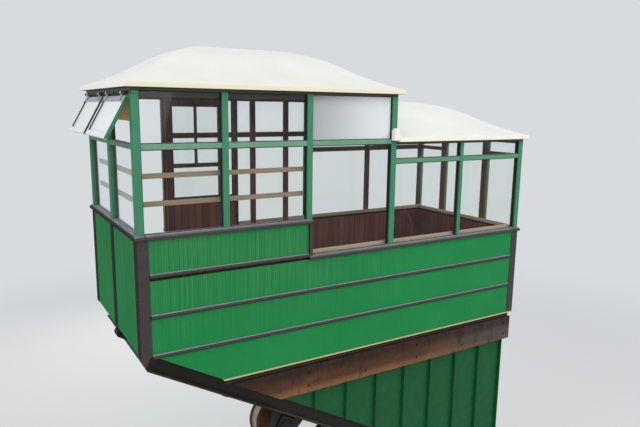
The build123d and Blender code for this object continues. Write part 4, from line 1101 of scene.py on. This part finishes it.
fitted([corner_cap(side) for side in both_sides], "roof_corner_caps", "roof_cream")

# %% [markdown]
# ## Boards over the joists' ends
# The body stands on joists that lie across two long beams. A tarred board on each beam hides
# the joists' ends, which is the dark line between the green body and the stained beam. It is a
# plank with a drip groove run along its face: an inset strip, pushed in.

# %% Joist end boards
JOIST_BOARD_X = (-1.98, 2.06)
JOIST_BOARD_Y = (0.9255, 0.944)
JOIST_BOARD_Z = (1.7205, 1.7855)
DRIP_BORDER = 0.02
DRIP_DEPTH = 0.006


def joist_board(side):
    low, high = zip(JOIST_BOARD_X, span(side, *JOIST_BOARD_Y), JOIST_BOARD_Z)
    piece = start_block("joist_board", low, high)
    inward = (0, -side * DRIP_DEPTH, 0)
    draw_out(piece, lambda middle, normal: normal.y * side > 0.9, DRIP_BORDER, inward)
    ease(piece, SMALL_ROUND, 1)
    return piece


fitted([joist_board(side) for side in both_sides], "joist_end_boards", "underframe_steel")

# %% [markdown]
# ## Angles on top of the ribbed plates
# Each ribbed plate hangs just inside the long beam, and an angle iron riveted to its top edge
# ties the two together. It starts as a flat bar under the beam; a cut along it marks off the
# strip behind the plate, which is then pulled down into the other leg of the angle.

# %% Angles
PLATE_BACK_Y = 0.8595
ANGLE_X = (-1.24, 2.03)
ANGLE_Y = (0.85, 0.93)
ANGLE_Z = (1.4005, 1.4095)
ANGLE_LEG = 0.06


def top_angle(side):
    low, high = zip(ANGLE_X, span(side, *ANGLE_Y), ANGLE_Z)
    piece = start_block("top_angle", low, high)
    pick(piece, "FACE", lambda middle, normal: True)
    bpy.ops.mesh.bisect(plane_co=(0, side * PLATE_BACK_Y, 0), plane_no=(0, 1, 0))
    bpy.ops.object.mode_set(mode="OBJECT")
    pick(piece, "FACE", lambda middle, normal: normal.z < -0.9 and abs(middle.y) < PLATE_BACK_Y)
    bpy.ops.mesh.extrude_region_move(TRANSFORM_OT_translate={"value": (0, 0, -ANGLE_LEG)})
    bpy.ops.object.mode_set(mode="OBJECT")
    ease(piece, SMALL_ROUND, 1)
    return piece


fitted([top_angle(side) for side in both_sides], "plate_top_angles", "frame_plate_green")

# %% [markdown]
# ## Journals
# The ends of the axles turn in the boxes with a hair's breadth of play. A mesh has flat sides
# where the steel is round, and its corners would scrape the bore as it turns, so the journals
# are drawn in by one part in twenty.

# %% Journals turned down
JOURNAL_RADIUS = 0.045
JOURNAL_SHRINK = 0.95
JOURNAL_START_Y = 0.6


def turn_down(piece, x, z):
    def on_journal(place, normal):
        far_out = abs(place.y) > JOURNAL_START_Y
        return far_out and Vector((place.x - x, place.z - z)).length < JOURNAL_RADIUS * 1.02

    only(piece)
    pick(piece, "VERT", on_journal)
    print(piece.name, "journal points", sum(point.select for point in piece.data.vertices))
    bpy.ops.transform.resize(value=(JOURNAL_SHRINK, 1, JOURNAL_SHRINK), center_override=(x, 0, z))
    bpy.ops.object.mode_set(mode="OBJECT")


turn_down(eased["upper_wheelset"], *UPPER_AXLE)
turn_down(eased["lower_wheelset"], *LOWER_AXLE)

# %% [markdown]
# ## Screws, bolts and rivets
# A fastener is small but there are hundreds, so one has only a few dozen faces: a short
# eight-sided stub whose end is inset and drawn out into a dome. A row is that one head repeated
# by an Array modifier, and rows are joined into one piece for each kind. Heads could be stamped
# in a bump map instead, but then they would not stand out from the side.

# %% One row of heads
def head(place, axis, side, radius, height):
    """A domed head at a place, standing out along X, Y or Z to one side."""
    turns = {"x": (0, radians(90) * side, 0), "y": (radians(-90) * side, 0, 0), "z": (0, 0, 0)}
    bpy.ops.object.select_all(action="DESELECT")
    bpy.ops.mesh.primitive_cylinder_add(vertices=8, radius=radius, depth=height)
    piece = bpy.context.active_object
    pick(piece, "FACE", lambda middle, normal: normal.z > 0.9)
    bpy.ops.mesh.inset(thickness=radius * 0.35)
    bpy.ops.transform.translate(value=(0, 0, height * 0.45))
    bpy.ops.object.mode_set(mode="OBJECT")
    piece.rotation_euler = turns[axis]
    piece.location = place
    bpy.ops.object.transform_apply(location=True, rotation=True, scale=True)
    return piece


def row(start, end, count, axis, side, radius, height):
    """Heads at even steps from start to end."""
    start, end = Vector(start), Vector(end)
    piece = head(start, axis, side, radius, height)
    if count > 1:
        array = piece.modifiers.new("row", "ARRAY")
        array.count = count
        array.use_relative_offset = False
        array.use_constant_offset = True
        array.constant_offset_displace = (end - start) / (count - 1)
        bpy.ops.object.modifier_apply(modifier=array.name)
    return piece


def fasteners(name, slot, rows, **size):
    """Rows of heads as one piece; a row is its start, end, count, axis and side."""
    piece = joined([row(*line, **size) for line in rows], name)
    settle(piece, "car", slot)
    print(name, sum(line[2] for line in rows), "heads,", len(piece.data.polygons), "faces")


def level_row(x0, x1, y, z, count, side):
    """A row along a side wall."""
    return (x0, y * side, z), (x1, y * side, z), count, "y", side


# %% Screws in the sills
# On the far side the upper row starts beyond the doorway.
SCREW = {"radius": 0.006, "height": 0.003}
SILL_FACE_Y = 1.005
UPPER_SCREWS_Z = 3.288
LOWER_SCREWS_Z = 2.908
UPPER_SCREWS_X = {-1: (-2.6, -1.1), 1: (-1.888, -1.1)}
LOWER_SCREWS_X = (-0.95, 1.95)
sill_rows = []
for side in both_sides:
    sill_rows.append(level_row(*UPPER_SCREWS_X[side], SILL_FACE_Y, UPPER_SCREWS_Z, 6, side))
    sill_rows.append(level_row(*LOWER_SCREWS_X, SILL_FACE_Y, LOWER_SCREWS_Z, 11, side))
fasteners("sill_screws", "black_trim", sill_rows, **SCREW)

# %% Screws in the corner plates
# The far doorway's jamb takes the place of that corner plate's inner row.
PLATE_SCREWS = 7
SIDE_PLATE_Y = 0.9815
UPHILL = {"x": -2.8065, "heights": (2.26, 3.2), "axis": "x", "side": -1}
DOWNHILL = {"x": 2.0965, "heights": (1.87, 2.84), "axis": "x", "side": 1}
FAR_JAMB_X = -2.74
SIDE_ROWS_X = (-2.775, -2.725, 2.015, 2.065)
END_ROWS_Y = (0.905, 0.955)
UPHILL_MIDDLE_Y = (-0.04, 0.04)
DOWNHILL_MIDDLE_Y = (-0.44, -0.36, 0.36, 0.44)


def upright_row(x, y, heights, axis, side):
    return (x, y, heights[0]), (x, y, heights[1]), PLATE_SCREWS, axis, side


plate_rows = []
for side in both_sides:
    for x in SIDE_ROWS_X:
        heights = (UPHILL if x < 0 else DOWNHILL)["heights"]
        if side < 0 or x < FAR_JAMB_X or x > 0:
            plate_rows.append(upright_row(x, side * SIDE_PLATE_Y, heights, "y", side))
    for end in (UPHILL, DOWNHILL):
        for y in END_ROWS_Y:
            plate_rows.append(upright_row(y=y * side, **end))
plate_rows += [upright_row(y=y, **UPHILL) for y in UPHILL_MIDDLE_Y]
plate_rows += [upright_row(y=y, **DOWNHILL) for y in DOWNHILL_MIDDLE_Y]
fasteners("plate_screws", "black_trim", plate_rows, **SCREW)

# %% Bolts through the long beams
BEAM_FACE_Y = 0.966
BOLTS_X = (-1.04, 1.98)
BOLTS_Z = (1.49, 1.64)
beam_rows = [
    level_row(*BOLTS_X, BEAM_FACE_Y, z, 5, side) for side in both_sides for z in BOLTS_Z
]
fasteners("beam_bolts", "dark_steel", beam_rows, radius=0.013, height=0.009)

# %% Rivets of the ribbed plates
# The plates end on the sloping girder, so each rib is shorter than the one downhill of it.
RIB_PITCH = 0.42
LAST_RIB_X = 2.016
RIB_COUNT = 8
PLATE_FACE_Y = 0.87
PLATE_FOOT_Z = -0.535
PLATE_END_X = 2.03
RIVET_PITCH = 0.11
RIVET_TOP_Z = 1.37
RIVET_FOOT = 0.05
RIB_TO_RIVET = 0.03
GRADE_RUN = 1.75
rivet_rows = []
for number in range(RIB_COUNT):
    x = LAST_RIB_X - number * RIB_PITCH - RIB_TO_RIVET
    foot = PLATE_FOOT_Z + (PLATE_END_X - x) / GRADE_RUN + RIVET_FOOT
    count = max(2, round((RIVET_TOP_Z - foot) / RIVET_PITCH))
    for side in both_sides:
        y = side * PLATE_FACE_Y
        rivet_rows.append(((x, y, foot), (x, y, RIVET_TOP_Z), count, "y", side))
fasteners("plate_rivets", "frame_plate_green", rivet_rows, radius=0.009, height=0.009)

# %% Bolts of the axle box covers
COVER_FACE_Y = 0.852
COVER_BOLT = 0.04
downhill = Vector((GRADE_RUN, 0, -1)).normalized()
upright = Vector((1, 0, GRADE_RUN)).normalized()
cover_rows = []
for x, z in (UPPER_AXLE, LOWER_AXLE):
    for side in both_sides:
        for step in (-COVER_BOLT, COVER_BOLT):
            middle = Vector((x, side * COVER_FACE_Y, z)) + downhill * step
            spread = upright * COVER_BOLT
            cover_rows.append((middle - spread, middle + spread, 2, "y", side))
fasteners("cover_bolts", "dark_steel", cover_rows, radius=0.008, height=0.009)

# %% [markdown]
# ## Floor, light and camera
# The car is shown as in a studio: a pale floor under its lowest point, an even pale backdrop, one
# large soft lamp from the near side and weaker ones round it. A white roof would vanish before
# plain white, so the backdrop is a very light grey. To the camera, to mirrors and through glass
# it has that grey; the light that it throws on the paint is weaker, so that each colour keeps
# its value.

# %% Floor
FLOOR_SIZE = 120
FLOOR_GAP = 0.003
FLOOR_FADES = (7.0, 15.0)
FLOOR_GLOW = 0.45
FLOOR_GREY = (0.735, 0.735, 0.735, 1)
BACKDROP = linear(216, 219, 221)
bpy.ops.object.select_all(action="DESELECT")
bpy.ops.mesh.primitive_plane_add(size=FLOOR_SIZE, location=(0, 0, cad_low[2] - FLOOR_GAP))
floor = bpy.context.active_object
floor.name = "studio_floor"
bpy.ops.object.transform_apply(location=True, rotation=False, scale=False)


def seen_rays(tree):
    """1 for the camera and for what mirrors and glass show, 0 for the light on the paint."""
    direct = tree.signal("ShaderNodeLightPath", "Is Camera Ray")
    mirrored = tree.signal("ShaderNodeLightPath", "Is Glossy Ray")
    return direct.either(mirrored).either(tree.signal("ShaderNodeLightPath", "Is Transmission Ray"))


def studio_floor_paint():
    """Matt pale paint that keeps the car's shadow, and fades to the backdrop far away."""
    finish = Finish("studio_floor_paint")
    matt = finish.signal("ShaderNodeBsdfDiffuse", "BSDF", {}, {"Color": FLOOR_GREY})
    glow = finish.signal("ShaderNodeEmission", "Emission", {}, {"Color": BACKDROP})
    distance = (finish.x * finish.x + finish.y * finish.y) ** 0.5
    lift = FLOOR_GLOW + distance.rise(*FLOOR_FADES) * (1 - FLOOR_GLOW)
    finish.end(finish.blend(lift * seen_rays(finish), matt, glow))


studio_floor_paint()
paint(floor, "studio_floor_paint")
print("floor", round(FLOOR_GAP * 1000), "mm below the car")

# %% World
AMBIENT = 0.86
world = bpy.data.worlds.new("studio")
bpy.context.scene.world = world
air = NodeTree(world)
strength = AMBIENT + seen_rays(air) * (1 - AMBIENT)
sky = air.signal("ShaderNodeBackground", 0, {}, {"Color": BACKDROP, "Strength": strength})
air.node("ShaderNodeOutputWorld", {}, {"Surface": sky})
print("ambient light", AMBIENT)

# %% Lamps
# Name, place, aims at, size in metres, power in watts
LAMPS = (
    ("key", (4.5, -7.0, 10.0), (0.0, 0, 2.8), 6.0, 385),
    ("fill", (-2.0, -9.0, 6.0), (-0.5, 0, 2.2), 5.0, 90),
    ("back", (0.0, 9.5, 5.5), (-0.5, 0, 3.5), 5.0, 460),
    ("uphill", (-9.0, -2.5, 7.5), (-2.8, 0, 4.0), 4.0, 190),
)
for name, place, aim, size, power in LAMPS:
    lamp = bpy.data.lights.new(name, "AREA")
    lamp.size = size
    lamp.energy = power
    holder = bpy.data.objects.new(name, lamp)
    # The far lamp would show in the end panes as a white patch.
    holder.visible_glossy = name != "back"
    holder.location = place
    holder.rotation_euler = (Vector(aim) - Vector(place)).to_track_quat("-Z", "Y").to_euler()
    bpy.context.collection.objects.link(holder)
print("lamps", [row[0] for row in LAMPS])

# %% Camera
# The place and the three turns come from lines in the photo, the lens from their vanishing points.
CAMERA_PLACE = (-4.0383, -6.0579, 4.4389)
CAMERA_TURNS = (79.8161, -0.7263, -31.2975)
FOCAL_PIXELS = 587.18
PICTURE_WIDTH = 640

camera_data = bpy.data.cameras.new("camera")
camera_data.sensor_width = 36.0
camera_data.lens = FOCAL_PIXELS / PICTURE_WIDTH * camera_data.sensor_width
camera = bpy.data.objects.new("camera", camera_data)
camera.location = CAMERA_PLACE
camera.rotation_mode = "XYZ"
camera.rotation_euler = [radians(turn) for turn in CAMERA_TURNS]
bpy.context.collection.objects.link(camera)
bpy.context.scene.camera = camera
bpy.context.scene.view_settings.view_transform = "Standard"
print("lens", round(camera_data.lens, 2), "mm")
